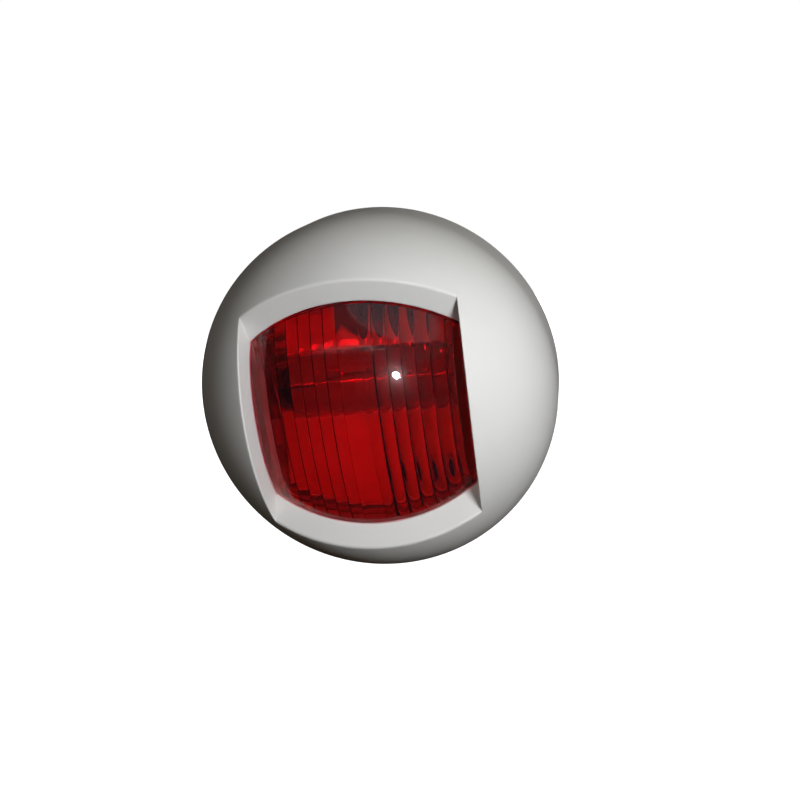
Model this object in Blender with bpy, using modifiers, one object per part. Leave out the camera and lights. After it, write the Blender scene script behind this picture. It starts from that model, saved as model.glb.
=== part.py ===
"""Round side-mount navigation light: a white domed cover with an arched window, a red fluted lens behind
it, and a festoon lamp held across the base between two spring contacts.

Metres, +Z up. The light stands on a wall that lies in the XZ plane at Y = 0 and it faces -Y. The origin is
the centre of the face that rests on the wall. A distance called forward is measured along -Y.
"""

from math import cos, pi, radians, sin, sqrt

import bmesh
import bpy
from mathutils import Matrix, Vector

MM = 0.001
GAP = 0.3 * MM  # clearance left between pieces that touch
LONG = 60.0 * MM  # more than any wall, for cutters that go right through

# Cover: a straight skirt, then half an ellipsoid
DOME_R = 30.0 * MM
DOME_RISE = 21.5 * MM
DOME_PLANE = 9.6 * MM  # forward of the wall, where the skirt ends and the dome begins
SHELL_T = 2.2 * MM
SKIRT_BACK = 1.8 * MM
EDGE_BEVEL = 0.4 * MM
DRAIN_X = 9.0 * MM
DRAIN_W = 2.4 * MM
DRAIN_DEPTH = 1.2 * MM

# Window, with depths forward of the dome plane
WINDOW_HALF_W = 16.75 * MM
WINDOW_TOP = 18.15 * MM  # half height on the centre line
WINDOW_CORNER = 12.8 * MM  # half height at the sides
FACE_START = 4.45 * MM  # depth at which the two sloped faces would meet
FACE_SLOPE = 2.07  # half height gained per unit of depth
SIDE_START = 15.46 * MM  # half width at the dome plane
SIDE_DRAFT = 0.12  # half width gained per unit of depth
COLLAR_T = 2.4 * MM
COLLAR_BACK = 9.0 * MM
ARCH_DROP = WINDOW_TOP - WINDOW_CORNER
ARCH_R = (WINDOW_HALF_W**2 + ARCH_DROP**2) / (2 * ARCH_DROP)
ARCH_STEPS = 14

# Lens and what clamps it, with depths forward of the dome plane
LENS_A = 21.8 * MM  # half width of the ellipsoid that its face is part of
LENS_RISE = 9.0 * MM
LENS_PLANE = 8.25 * MM
LENS_T = 2.0 * MM
LENS_WALL = 0.7 * MM
LENS_FLANGE = 1.9 * MM
FLUTE_PITCH = 2.05 * MM
FLUTES_PER_SIDE = 7
FLUTE_LEFT = 0.12 * MM  # shallow ribs, parted by grooves
FLUTE_RIGHT = 0.42 * MM  # deep ribs
GROOVE_W = 0.16 * MM
GROOVE_DEPTH = 0.2 * MM
PLAIN_HALF_W = 1.7 * MM  # the plain strip down the middle of the lens
SEAL_T = 0.7 * MM
SEAL_INSET = 0.2 * MM
FLANGE_FRONT = COLLAR_BACK - SEAL_T - 2 * GAP
FLANGE_BACK = FLANGE_FRONT - 1.1 * MM
RETAINER_FRONT = FLANGE_BACK - GAP
RETAINER_BACK = RETAINER_FRONT - 1.0 * MM
EAR_R = 2.5 * MM
EAR_HALF_H = 1.8 * MM
EAR_REACH = 0.8  # where an ear's arm starts, as a share of the way to its screw
BOSS_X = 21.6 * MM
BOSS_Z = 8.6 * MM
BOSS_R = 2.3 * MM
BOSS_BACK = RETAINER_FRONT + GAP
CLAMP_SCREW_R = 1.0 * MM
CLAMP_HEAD_R = 1.8 * MM
CLAMP_HEAD_H = 1.0 * MM
CLAMP_SCREW_L = 4.0 * MM
SLOT_W = 0.5 * MM
SLOT_DEPTH = 0.5 * MM

# Base, with depths forward of the wall
GASKET_T = 1.5 * MM
GASKET_R = 26.4 * MM
PLATE_BACK = GASKET_T + GAP
PLATE_FRONT = PLATE_BACK + 2.4 * MM
PLATE_R = 27.4 * MM
GROOVE_BACK = 2.3 * MM
GROOVE_FRONT = 3.7 * MM
GROOVE_R = 26.2 * MM
RIM_R = 26.4 * MM
RIM_T = 1.6 * MM
RIM_FRONT = 11.5 * MM
FIX_X = 10.5 * MM  # wall screw holes, on a diagonal
FIX_Z = 17.0 * MM
FIX_R = 2.1 * MM
FIX_SINK_R = 3.9 * MM
INLET_Z = 14.5 * MM
INLET_R = 5.2 * MM
GROMMET_BORE_R = 3.5 * MM
GROMMET_FLANGE_R = 6.4 * MM
GROMMET_BACK = 0.4 * MM
GROMMET_RISE = 1.5 * MM
GROMMET_CHAMFER = 0.6 * MM

# Lamp: a 44 mm festoon, 11 mm across its glass
LAMP_PLANE = DOME_PLANE + 0.7 * MM  # forward of the wall
LAMP_Z = 2.45 * MM
LAMP_HALF = 22.0 * MM
GLASS_R = 5.5 * MM
GLASS_HALF = 16.4 * MM
GLASS_T = 0.6 * MM
GLASS_NECK_R = 3.3 * MM
CAP_R = 4.25 * MM
CAP_START = 15.0 * MM
CAP_T = 0.45 * MM
CAP_CONE = 1.3 * MM
CAP_END_T = 2.0 * MM
TIP_R = 1.2 * MM
WIRE_R = 0.2 * MM
WIRE_HALF = LAMP_HALF - 3.2 * MM
FILAMENT_HALF = 9.6 * MM
FILAMENT_RISE = 1.3 * MM
FILAMENT_STEPS = 10

# Contacts, with depths forward of the wall
CONTACT_W = 7.0 * MM
CONTACT_T = 0.5 * MM
BLADE_X = LAMP_HALF - 0.1 * MM
BLADE_TOP = 14.2 * MM
BLADE_BEND = 12.8 * MM
BLADE_FLARE = 1.0 * MM
BLADE_HOLE_R = 1.9 * MM
PEDESTAL_FRONT = 4.7 * MM
FOOT_BACK = PEDESTAL_FRONT + GAP
FOOT_FRONT = FOOT_BACK + CONTACT_T
FOOT_IN = 15.5 * MM
FOOT_TOP = 11.4 * MM
TERMINAL_X = 18.0 * MM
TERMINAL_Z = 9.1 * MM
TERMINAL_R = 1.1 * MM
TERMINAL_HEAD_R = 1.8 * MM
TERMINAL_HEAD_H = 1.2 * MM
TERMINAL_FLOOR = 0.9 * MM  # plate left behind a terminal's hole
PEDESTAL_MARGIN = 0.6 * MM
CLAMP_PLATE = 4.2 * MM
CLAMP_PLATE_T = 0.6 * MM

# Locking screw, up through the foot of the skirt
LOCK_PLANE = 7.0 * MM  # forward of the wall
LOCK_R = 1.5 * MM
LOCK_HEAD_R = 2.6 * MM
LOCK_SEAT = -27.6 * MM  # floor of the recess, as a height
LOCK_TIP = -24.0 * MM
LOCK_HEAD_TOP = LOCK_SEAT - 0.9 * MM
LOCK_HEAD_BOTTOM = -DOME_R + 0.15 * MM
LOCK_SLOT_W = 0.7 * MM
LOCK_SLOT_DEPTH = 0.7 * MM
WASHER_TOP = LOCK_SEAT - 0.15 * MM
WASHER_T = 0.5 * MM
PAD_TOP = -25.0 * MM
PAD_HALF_W = 4.5 * MM
PAD_HALF_D = 2.4 * MM
LUG_HALF_W = 7.5 * MM
LUG_HALF_D = 3.0 * MM
LUG_T = 2.2 * MM

WHITE = (0.80, 0.79, 0.75)
RED = (0.55, 0.01, 0.02)
CLEAR = (0.95, 0.95, 0.93)
BRASS = (0.72, 0.53, 0.22)
NICKEL = (0.66, 0.64, 0.60)
STEEL = (0.62, 0.62, 0.62)
TUNGSTEN = (0.25, 0.24, 0.23)
RUBBER = (0.03, 0.03, 0.03)

FACING = Matrix.Rotation(radians(90), 4, "X")  # turns local +Z to forward
ACROSS = Matrix.Rotation(radians(90), 4, "Y")  # turns local +Z to +X


def new_collection(name):
    """Adds a collection to the scene."""
    collection = bpy.data.collections.new(name)
    bpy.context.scene.collection.children.link(collection)
    return collection


def clear_scene():
    """Removes whatever the scene starts with."""
    for found in list(bpy.data.objects):
        bpy.data.objects.remove(found, do_unlink=True)


def material(name, colour, roughness, metallic=0.0, transmission=0.0):
    """A Principled material of one colour."""
    made = bpy.data.materials.new(name)
    made.use_nodes = True
    shader = made.node_tree.nodes["Principled BSDF"]
    shader.inputs["Base Color"].default_value = (*colour, 1.0)
    shader.inputs["Roughness"].default_value = roughness
    shader.inputs["Metallic"].default_value = metallic
    shader.inputs["Transmission Weight"].default_value = transmission
    made.diffuse_color = (*colour, 1.0)
    return made


def place(name, mesh, matrix=None):
    """Puts a mesh in the cutters' collection, from where finish moves the real pieces."""
    made = bpy.data.objects.new(name, mesh)
    CUTTERS.objects.link(made)
    if matrix is not None:
        made.matrix_world = matrix
    made.hide_render = True
    made.display_type = "WIRE"
    return made


def finish(piece, name, look, smooth=40):
    """Makes an object one of the light's pieces, with its name and material."""
    piece.name = name
    piece.data.name = name
    CUTTERS.objects.unlink(piece)
    PIECES.objects.link(piece)
    piece.hide_render = False
    piece.display_type = "TEXTURED"
    piece.data.materials.append(look)
    piece.data.shade_smooth()
    piece.data.set_sharp_from_angle(angle=radians(smooth))
    return piece


def turned(profile, matrix, steps=48, ring=False):
    """A profile of (radius, height) points, from the top down its outer side, turned about local Z."""
    mesh = bpy.data.meshes.new("turned")
    shape = bmesh.new()
    points = [shape.verts.new((radius, 0, height)) for radius, height in profile]
    for start, end in zip(points, points[1:]):
        shape.edges.new((start, end))
    if ring:
        shape.edges.new((points[-1], points[0]))
    shape.to_mesh(mesh)
    shape.free()
    made = place("turned", mesh, matrix)
    screw = made.modifiers.new("turn", "SCREW")
    screw.angle = 2 * pi
    screw.steps = steps
    screw.render_steps = steps
    screw.use_merge_vertices = True
    screw.merge_threshold = 0.000005
    return made


def cylinder(radius, back, front, x=0.0, z=0.0, steps=24, tip_radius=None):
    """A cylinder or cone along Y, from back to front, both distances forward of the wall."""
    mesh = bpy.data.meshes.new("cylinder")
    shape = bmesh.new()
    tip = radius if tip_radius is None else tip_radius
    bmesh.ops.create_cone(
        shape, cap_ends=True, segments=steps, radius1=radius, radius2=tip, depth=front - back
    )
    shape.to_mesh(mesh)
    shape.free()
    middle = Vector((x, -(back + front) / 2, z))
    return place("cylinder", mesh, Matrix.Translation(middle) @ FACING)


def upright(radius, bottom, top, y, steps=24):
    """A cylinder along Z."""
    mesh = bpy.data.meshes.new("upright")
    shape = bmesh.new()
    bmesh.ops.create_cone(
        shape, cap_ends=True, segments=steps, radius1=radius, radius2=radius, depth=top - bottom
    )
    shape.to_mesh(mesh)
    shape.free()
    return place("upright", mesh, Matrix.Translation((0, y, (bottom + top) / 2)))


def block(low, high):
    """A box between two corners."""
    mesh = bpy.data.meshes.new("block")
    shape = bmesh.new()
    bmesh.ops.create_cube(shape, size=1)
    size = Vector(high) - Vector(low)
    bmesh.ops.scale(shape, vec=size, verts=shape.verts)
    shape.to_mesh(mesh)
    shape.free()
    return place("block", mesh, Matrix.Translation((Vector(high) + Vector(low)) / 2))


def ellipsoid(half_width, rise, plane, segments=64, rings=32):
    """An ellipsoid of revolution about Y, centred at a plane that is forward of the wall."""
    mesh = bpy.data.meshes.new("ellipsoid")
    shape = bmesh.new()
    bmesh.ops.create_uvsphere(shape, u_segments=segments, v_segments=rings, radius=half_width)
    bmesh.ops.scale(shape, vec=(1, 1, rise / half_width), verts=shape.verts)
    shape.to_mesh(mesh)
    shape.free()
    return place("ellipsoid", mesh, Matrix.Translation((0, -plane, 0)) @ FACING)


def as_mesh(source):
    """The evaluated shape of a curve or of an object with modifiers, as a plain mesh object."""
    bpy.context.view_layer.update()
    graph = bpy.context.evaluated_depsgraph_get()
    mesh = bpy.data.meshes.new_from_object(source.evaluated_get(graph), depsgraph=graph)
    shape = bmesh.new()
    shape.from_mesh(mesh)
    bmesh.ops.remove_doubles(shape, verts=shape.verts, dist=0.000001)
    shape.to_mesh(mesh)
    shape.free()
    made = place("plain", mesh, source.matrix_world.copy())
    bpy.data.objects.remove(source, do_unlink=True)
    return made


def prism(outline, back, front):
    """A flat outline of (x, z) points, filled and extruded between two distances forward of the wall."""
    curve = bpy.data.curves.new("outline", "CURVE")
    curve.dimensions = "2D"
    curve.fill_mode = "BOTH"
    curve.extrude = (front - back) / 2
    spline = curve.splines.new("POLY")
    spline.points.add(len(outline) - 1)
    for point, (x, z) in zip(spline.points, outline):
        point.co = (x, z, 0, 1)
    spline.use_cyclic_u = True
    made = bpy.data.objects.new("outline", curve)
    CUTTERS.objects.link(made)
    made.matrix_world = Matrix.Translation((0, -(back + front) / 2, 0)) @ FACING
    return as_mesh(made)


def wire(points, radius):
    """A round wire through a list of points."""
    curve = bpy.data.curves.new("wire", "CURVE")
    curve.dimensions = "3D"
    curve.bevel_depth = radius
    curve.bevel_resolution = 1
    curve.use_fill_caps = True
    spline = curve.splines.new("POLY")
    spline.points.add(len(points) - 1)
    for point, place_at in zip(spline.points, points):
        point.co = (*place_at, 1)
    made = bpy.data.objects.new("wire", curve)
    CUTTERS.objects.link(made)
    return as_mesh(made)


def combine(target, tool, operation):
    """Adds a Boolean modifier that joins, cuts or keeps what two shapes share."""
    step = target.modifiers.new(operation.lower(), "BOOLEAN")
    step.operation = operation
    step.object = tool
    return target


def join(target, *tools):
    """Joins shapes to the target."""
    for tool in tools:
        combine(target, tool, "UNION")
    return target


def cut(target, *tools):
    """Cuts shapes out of the target."""
    for tool in tools:
        combine(target, tool, "DIFFERENCE")
    return target


def dome_profile(radius, rise, back, plane, steps):
    """A solid dome on a straight skirt, as (radius, distance forward) from its crown down."""
    arc = []
    for step in range(steps + 1):
        angle = pi / 2 * step / steps
        arc.append((radius * sin(angle), plane + rise * cos(angle)))
    return arc + [(radius, back), (0, back)]


def arched_outline(grow=0.0, half_w=WINDOW_HALF_W):
    """The window's outline: straight sides, arched top and bottom, grown outward all round."""
    half = half_w + grow
    radius = ARCH_R + grow
    centre = WINDOW_TOP - ARCH_R
    top = []
    for step in range(ARCH_STEPS + 1):
        x = half * (1 - 2 * step / ARCH_STEPS)
        top.append((x, centre + sqrt(radius**2 - x**2)))
    return top + [(-x, -z) for x, z in top]


def side_at(depth, grow=0.0):
    """Half the window's width between its drafted sides."""
    return SIDE_START + SIDE_DRAFT * depth + grow


def face_at(depth):
    """Half the height between the window's sloped top and bottom faces."""
    return FACE_SLOPE * (depth - FACE_START)


def tapered(back, front, half_w, half_h):
    """A block between two depths whose half width and half height each follow a function of depth."""
    made = block((-1, -1, -1), (1, 1, 1))
    for corner in made.data.vertices:
        depth = front if corner.co.y < 0 else back
        corner.co.x = half_w(depth) if corner.co.x > 0 else -half_w(depth)
        corner.co.z = half_h(depth) if corner.co.z > 0 else -half_h(depth)
        corner.co.y = -(DOME_PLANE + depth)
    return made


def opening(grow, back, front):
    """The arched, drafted space that the lens stands in, grown outward, between two depths."""
    arch = prism(arched_outline(grow, WINDOW_HALF_W + 3 * MM), DOME_PLANE + back, DOME_PLANE + front)
    sides = tapered(back - MM, front + MM, lambda depth: side_at(depth, grow), lambda depth: LONG)
    return combine(arch, sides, "INTERSECT")


def corners(x, z):
    """The four places at plus and minus x and z."""
    return [(-x, z), (x, z), (-x, -z), (x, -z)]


def housing_cover():
    """The domed cover: a shell with a collar round its window, screw bosses and the locking pad."""
    crown = DOME_PLANE + DOME_RISE
    outer = dome_profile(DOME_R, DOME_RISE, SKIRT_BACK, DOME_PLANE, 18)
    cover = turned(outer, FACING, steps=72)
    hollow = dome_profile(DOME_R - SHELL_T, DOME_RISE - SHELL_T, SKIRT_BACK - 2 * MM, DOME_PLANE, 10)
    inside = turned(hollow, FACING, steps=64)
    cut(inside, prism(arched_outline(COLLAR_T), DOME_PLANE + COLLAR_BACK, crown + LONG))
    for x, z in corners(BOSS_X, BOSS_Z):
        cut(inside, cylinder(BOSS_R, DOME_PLANE + BOSS_BACK, crown, x, z, 20))
    pad_low = (-PAD_HALF_W, -(LOCK_PLANE + PAD_HALF_D), -DOME_R)
    pad_high = (PAD_HALF_W, -(LOCK_PLANE - PAD_HALF_D), PAD_TOP)
    cut(inside, block(pad_low, pad_high))
    faces = tapered(COLLAR_BACK - MM, DOME_RISE + MM, side_at, face_at)
    cut(cover, inside, faces, opening(0.0, COLLAR_BACK - MM, DOME_RISE + MM))
    for x, z in corners(BOSS_X, BOSS_Z):
        hole_end = DOME_PLANE + BOSS_BACK + CLAMP_SCREW_L - MM
        cut(cover, cylinder(CLAMP_SCREW_R + GAP, DOME_PLANE + BOSS_BACK - MM, hole_end, x, z, 16))
    cut(cover, upright(LOCK_HEAD_R + GAP, -LONG, LOCK_SEAT, -LOCK_PLANE, 28))
    cut(cover, upright(LOCK_HEAD_R, LOCK_SEAT - MM, PAD_TOP + MM, -LOCK_PLANE, 20))
    drain_low = (DRAIN_X - DRAIN_W / 2, -SKIRT_BACK - DRAIN_DEPTH, -LONG)
    drain_high = (DRAIN_X + DRAIN_W / 2, 0, -DOME_R / 2)
    cut(cover, block(drain_low, drain_high))
    return finish(cover, "housing_cover", WHITE_ABS)


def lens_core():
    """The hollow of the lens: a grid bent to the inner face, with its flutes, drawn back to the flange."""
    mesh = bpy.data.meshes.new("lens_core")
    shape = bmesh.new()
    stops = flute_stops()
    last = len(stops) - 1
    bmesh.ops.create_grid(shape, x_segments=last, y_segments=14, size=1.0)
    inner_a = LENS_A - LENS_T
    inner_rise = LENS_RISE - LENS_T
    for vert in shape.verts:
        x, relief = stops[round((vert.co.x + 1) / 2 * last)]
        z = vert.co.y * WINDOW_TOP
        spread = min(sqrt(x * x + z * z) / inner_a, 1.0)
        depth = LENS_PLANE + inner_rise * sqrt(1 - spread**2) - relief
        vert.co = (x, -(DOME_PLANE + depth), z)
    lid = bmesh.ops.extrude_face_region(shape, geom=shape.faces[:])
    for vert in [item for item in lid["geom"] if isinstance(item, bmesh.types.BMVert)]:
        vert.co.y = -(DOME_PLANE + FLANGE_BACK - 2 * MM)
    bmesh.ops.recalc_face_normals(shape, faces=shape.faces[:])
    shape.to_mesh(mesh)
    shape.free()
    return place("lens_core", mesh)


def flute_stops():
    """Across the lens's inner face, from left to right: where each stop is, and how far it stands back."""
    left = ribs(FLUTE_LEFT, GROOVE_DEPTH)
    right = ribs(FLUTE_RIGHT, 0.0)
    return [(-x, relief) for x, relief in reversed(left)] + right


def ribs(height, groove):
    """The stops of one half's ribs, from the plain strip outward: valleys, shoulders and rounded crests."""
    stops = [(PLAIN_HALF_W, -groove)]
    for number in range(FLUTES_PER_SIDE):
        start = PLAIN_HALF_W + number * FLUTE_PITCH
        stops.append((start + GROOVE_W / 2, 0.0))
        for share in (0.25, 0.5, 0.75):
            stops.append((start + FLUTE_PITCH * share, height * (1 - (2 * share - 1) ** 2)))
        stops.append((start + FLUTE_PITCH - GROOVE_W / 2, 0.0))
        stops.append((start + FLUTE_PITCH, -groove))
    return stops


def lens():
    """The red lens: an arched cap with side walls, vertical flutes inside and a flange to clamp."""
    body = opening(-GAP, FLANGE_BACK, DOME_RISE)
    combine(body, ellipsoid(LENS_A, LENS_RISE, DOME_PLANE + LENS_PLANE), "INTERSECT")
    flange = prism(arched_outline(LENS_FLANGE), DOME_PLANE + FLANGE_BACK, DOME_PLANE + FLANGE_FRONT)
    join(body, flange)
    core = combine(opening(-GAP - LENS_WALL, FLANGE_BACK - MM, DOME_RISE), lens_core(), "INTERSECT")
    return finish(cut(body, core), "lens", RED_ACRYLIC)


def lens_gasket():
    """The rubber ring between the collar and the lens flange."""
    back = DOME_PLANE + FLANGE_FRONT + GAP
    ring = prism(arched_outline(LENS_FLANGE), back, back + SEAL_T)
    hole = prism(arched_outline(SEAL_INSET), back - MM, back + SEAL_T + MM)
    return finish(cut(ring, hole), "lens_gasket", BLACK_RUBBER)


def lens_retainer():
    """The frame that clamps the lens flange, with an ear for each of its screws."""
    back = DOME_PLANE + RETAINER_BACK
    front = DOME_PLANE + RETAINER_FRONT
    frame = prism(arched_outline(LENS_FLANGE), back, front)
    for x, z in corners(BOSS_X, BOSS_Z):
        join(frame, cylinder(EAR_R, back, front, x, z, 20))
        arm = sorted((x * EAR_REACH, x))
        join(frame, block((arm[0], -front, z - EAR_HALF_H), (arm[1], -back, z + EAR_HALF_H)))
    cut(frame, prism(arched_outline(-GAP - LENS_WALL), back - MM, front + MM))
    for x, z in corners(BOSS_X, BOSS_Z):
        cut(frame, cylinder(CLAMP_SCREW_R + GAP, back - MM, front + MM, x, z, 16))
    return finish(frame, "lens_retainer", WHITE_ABS)


def clamp_screw(name, x, z):
    """One self-tapping screw of the lens retainer, head at the back, with a slot."""
    head_front = DOME_PLANE + RETAINER_BACK - GAP
    head_back = head_front - CLAMP_HEAD_H
    tip = head_front + CLAMP_SCREW_L
    profile = [
        (0, tip),
        (CLAMP_SCREW_R * 0.4, tip),
        (CLAMP_SCREW_R, tip - 0.8 * MM),
        (CLAMP_SCREW_R, head_front),
        (CLAMP_HEAD_R, head_front),
        (CLAMP_HEAD_R, head_back + 0.3 * MM),
        (CLAMP_HEAD_R - 0.4 * MM, head_back),
        (0, head_back),
    ]
    screw = turned(profile, Matrix.Translation((x, 0, z)) @ FACING, steps=16)
    slot_low = (x - LONG, -head_back - SLOT_DEPTH, z - SLOT_W / 2)
    cut(screw, block(slot_low, (x + LONG, 0, z + SLOT_W / 2)))
    return finish(screw, name, STEEL_PLATED)


def lock_screw():
    """The locking screw, head down, its tip against the lug on the base."""
    profile = [
        (0, LOCK_TIP),
        (LOCK_R - 0.4 * MM, LOCK_TIP),
        (LOCK_R, LOCK_TIP - 0.4 * MM),
        (LOCK_R, LOCK_HEAD_TOP),
        (LOCK_HEAD_R, LOCK_HEAD_TOP),
        (LOCK_HEAD_R, LOCK_HEAD_BOTTOM + 0.3 * MM),
        (LOCK_HEAD_R - 0.3 * MM, LOCK_HEAD_BOTTOM),
        (0, LOCK_HEAD_BOTTOM),
    ]
    screw = turned(profile, Matrix.Translation((0, -LOCK_PLANE, 0)), steps=28)
    slot_low = (-LONG, -LOCK_PLANE - LOCK_SLOT_W / 2, -LONG)
    slot = block(slot_low, (LONG, -LOCK_PLANE + LOCK_SLOT_W / 2, LOCK_HEAD_BOTTOM + LOCK_SLOT_DEPTH))
    return finish(cut(screw, slot), "lock_screw", STEEL_PLATED)


def lock_washer():
    """The sealing washer under the locking screw's head."""
    bottom = WASHER_TOP - WASHER_T
    profile = [
        (LOCK_R + GAP, WASHER_TOP),
        (LOCK_HEAD_R, WASHER_TOP),
        (LOCK_HEAD_R, bottom),
        (LOCK_R + GAP, bottom),
    ]
    ring = turned(profile, Matrix.Translation((0, -LOCK_PLANE, 0)), steps=24, ring=True)
    return finish(ring, "lock_washer", BLACK_RUBBER)


def lock_insert():
    """The brass threaded sleeve in the cover's pad."""
    profile = [
        (LOCK_R + GAP, PAD_TOP),
        (LOCK_HEAD_R - GAP, PAD_TOP),
        (LOCK_HEAD_R - GAP, LOCK_SEAT + GAP),
        (LOCK_R + GAP, LOCK_SEAT + GAP),
    ]
    sleeve = turned(profile, Matrix.Translation((0, -LOCK_PLANE, 0)), steps=20, ring=True)
    return finish(sleeve, "lock_insert", BRASS_BRIGHT)


def mounting_gasket():
    """The foam gasket against the wall, open for the inlet and the two wall screws."""
    sheet = cylinder(GASKET_R, 0, GASKET_T, steps=64)
    cut(sheet, cylinder(GROMMET_FLANGE_R + GAP, -MM, GASKET_T + MM, 0, INLET_Z, 32))
    for x, z in ((-FIX_X, FIX_Z), (FIX_X, -FIX_Z)):
        cut(sheet, cylinder(FIX_R + GAP, -MM, GASKET_T + MM, x, z, 20))
    return finish(sheet, "mounting_gasket", BLACK_RUBBER)


def base_plate():
    """The base: a plate with a seal groove, a rim, contact pedestals and the lug for the locking screw."""
    profile = [
        (0, PLATE_FRONT),
        (RIM_R - RIM_T, PLATE_FRONT),
        (RIM_R - RIM_T, RIM_FRONT),
        (RIM_R - EDGE_BEVEL, RIM_FRONT),
        (RIM_R, RIM_FRONT - EDGE_BEVEL),
        (RIM_R, PLATE_FRONT),
        (PLATE_R, PLATE_FRONT),
        (PLATE_R, GROOVE_FRONT),
        (GROOVE_R, GROOVE_FRONT),
        (GROOVE_R, GROOVE_BACK),
        (PLATE_R, GROOVE_BACK),
        (PLATE_R, PLATE_BACK),
        (0, PLATE_BACK),
    ]
    plate = turned(profile, FACING, steps=64)
    lug_bottom = LOCK_TIP + GAP
    notch_low = (-PAD_HALF_W - GAP, -RIM_FRONT - MM, -LONG)
    notch_high = (PAD_HALF_W + GAP, -PLATE_FRONT - 0.05 * MM, lug_bottom)
    cut(plate, block(notch_low, notch_high))
    lug_low = (-LUG_HALF_W, -(LOCK_PLANE + LUG_HALF_D), lug_bottom)
    lug_high = (LUG_HALF_W, -(PLATE_FRONT - MM), lug_bottom + LUG_T)
    join(plate, block(lug_low, lug_high))
    for side in (-1, 1):
        outside = BLADE_X + CONTACT_T + PEDESTAL_MARGIN
        edges = sorted((side * (FOOT_IN - PEDESTAL_MARGIN), side * outside))
        low = (edges[0], -PEDESTAL_FRONT, LAMP_Z - CONTACT_W / 2 - PEDESTAL_MARGIN)
        join(plate, block(low, (edges[1], -(PLATE_FRONT - MM), FOOT_TOP + PEDESTAL_MARGIN)))
        hole_back = PLATE_BACK + TERMINAL_FLOOR
        cut(plate, cylinder(TERMINAL_R + GAP, hole_back, LONG, side * TERMINAL_X, TERMINAL_Z, 16))
    cut(plate, cylinder(INLET_R, 0, LONG, 0, INLET_Z, 32))
    for x, z in ((-FIX_X, FIX_Z), (FIX_X, -FIX_Z)):
        cut(plate, cylinder(FIX_R, 0, LONG, x, z, 20))
        sink_back = PLATE_FRONT - (FIX_SINK_R - FIX_R)
        slope = 0.5 * MM
        cut(plate, cylinder(FIX_R, sink_back, PLATE_FRONT + slope, x, z, 24, FIX_SINK_R + slope))
    return finish(plate, "base_plate", WHITE_BASE)


def cover_seal():
    """The rubber ring in the plate's groove, which the cover's skirt slides over."""
    profile = [
        (GROOVE_R + GAP, GROOVE_FRONT - GAP),
        (PLATE_R + 0.1 * MM, GROOVE_FRONT - GAP),
        (PLATE_R + 0.1 * MM, GROOVE_BACK + GAP),
        (GROOVE_R + GAP, GROOVE_BACK + GAP),
    ]
    return finish(turned(profile, FACING, steps=64, ring=True), "cover_seal", BLACK_RUBBER)


def cable_grommet():
    """The rubber grommet of the cable inlet, its groove round the plate's edge."""
    neck = INLET_R - GAP
    profile = [
        (GROMMET_BORE_R, PLATE_FRONT + GROMMET_RISE),
        (GROMMET_FLANGE_R - GROMMET_CHAMFER, PLATE_FRONT + GROMMET_RISE),
        (GROMMET_FLANGE_R, PLATE_FRONT + GROMMET_RISE - GROMMET_CHAMFER),
        (GROMMET_FLANGE_R, PLATE_FRONT + GAP),
        (neck, PLATE_FRONT + GAP),
        (neck, PLATE_BACK - GAP),
        (GROMMET_FLANGE_R, PLATE_BACK - GAP),
        (GROMMET_FLANGE_R, GROMMET_BACK),
        (GROMMET_BORE_R, GROMMET_BACK),
    ]
    ring = turned(profile, Matrix.Translation((0, 0, INLET_Z)) @ FACING, steps=32, ring=True)
    return finish(ring, "cable_grommet", BLACK_RUBBER)


def lamp_matrix(side=1):
    """Puts a shape turned about local Z on the lamp's axis, top end to the right, or to the left at -1."""
    turn = Matrix.Rotation(0 if side > 0 else pi, 4, "Z")
    return Matrix.Translation((0, -LAMP_PLANE, LAMP_Z)) @ turn @ ACROSS


def lamp_glass():
    """The lamp's glass tube, drawn in at both ends and open where its caps close it."""
    outer = [
        (GLASS_NECK_R, GLASS_HALF),
        (GLASS_NECK_R, CAP_START + 0.3 * MM),
        (GLASS_R - 0.6 * MM, CAP_START - 0.6 * MM),
        (GLASS_R, CAP_START - 1.9 * MM),
    ]
    inner = [(radius - GLASS_T, height) for radius, height in outer]
    half = outer + [(radius, -height) for radius, height in reversed(outer)]
    back = [(radius, -height) for radius, height in inner] + list(reversed(inner))
    return finish(turned(half + back, lamp_matrix(), steps=24, ring=True), "lamp_glass", CLEAR_GLASS)


def lamp_cap(name, side):
    """One of the lamp's metal end caps: a cup with a conical tip."""
    wall = CAP_R - CAP_T
    profile = [
        (0, LAMP_HALF),
        (TIP_R, LAMP_HALF),
        (CAP_R, LAMP_HALF - CAP_CONE),
        (CAP_R, CAP_START),
        (wall, CAP_START),
        (wall, LAMP_HALF - CAP_END_T),
        (0, LAMP_HALF - CAP_END_T),
    ]
    return finish(turned(profile, lamp_matrix(side), steps=24), name, NICKEL_CAP)


def lamp_filament():
    """The filament and the two lead wires that carry it, as one bent wire."""
    points = [(-WIRE_HALF, -LAMP_PLANE, LAMP_Z)]
    for step in range(FILAMENT_STEPS + 1):
        along = 2 * step / FILAMENT_STEPS - 1
        points.append((along * FILAMENT_HALF, -LAMP_PLANE, LAMP_Z + FILAMENT_RISE * (1 - along**2)))
    points.append((WIRE_HALF, -LAMP_PLANE, LAMP_Z))
    return finish(wire(points, WIRE_R), "lamp_filament", TUNGSTEN_WIRE)


def contact_foot(name, side):
    """The flat foot of a contact, screwed down on its pedestal."""
    ends = sorted((side * FOOT_IN, side * (BLADE_X - GAP)))
    low = (ends[0], -FOOT_FRONT, LAMP_Z - CONTACT_W / 2)
    foot = block(low, (ends[1], -FOOT_BACK, FOOT_TOP))
    hole = cylinder(TERMINAL_R + GAP, 0, LONG, side * TERMINAL_X, TERMINAL_Z, 16)
    return finish(cut(foot, hole), name, BRASS_BRIGHT)


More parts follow.
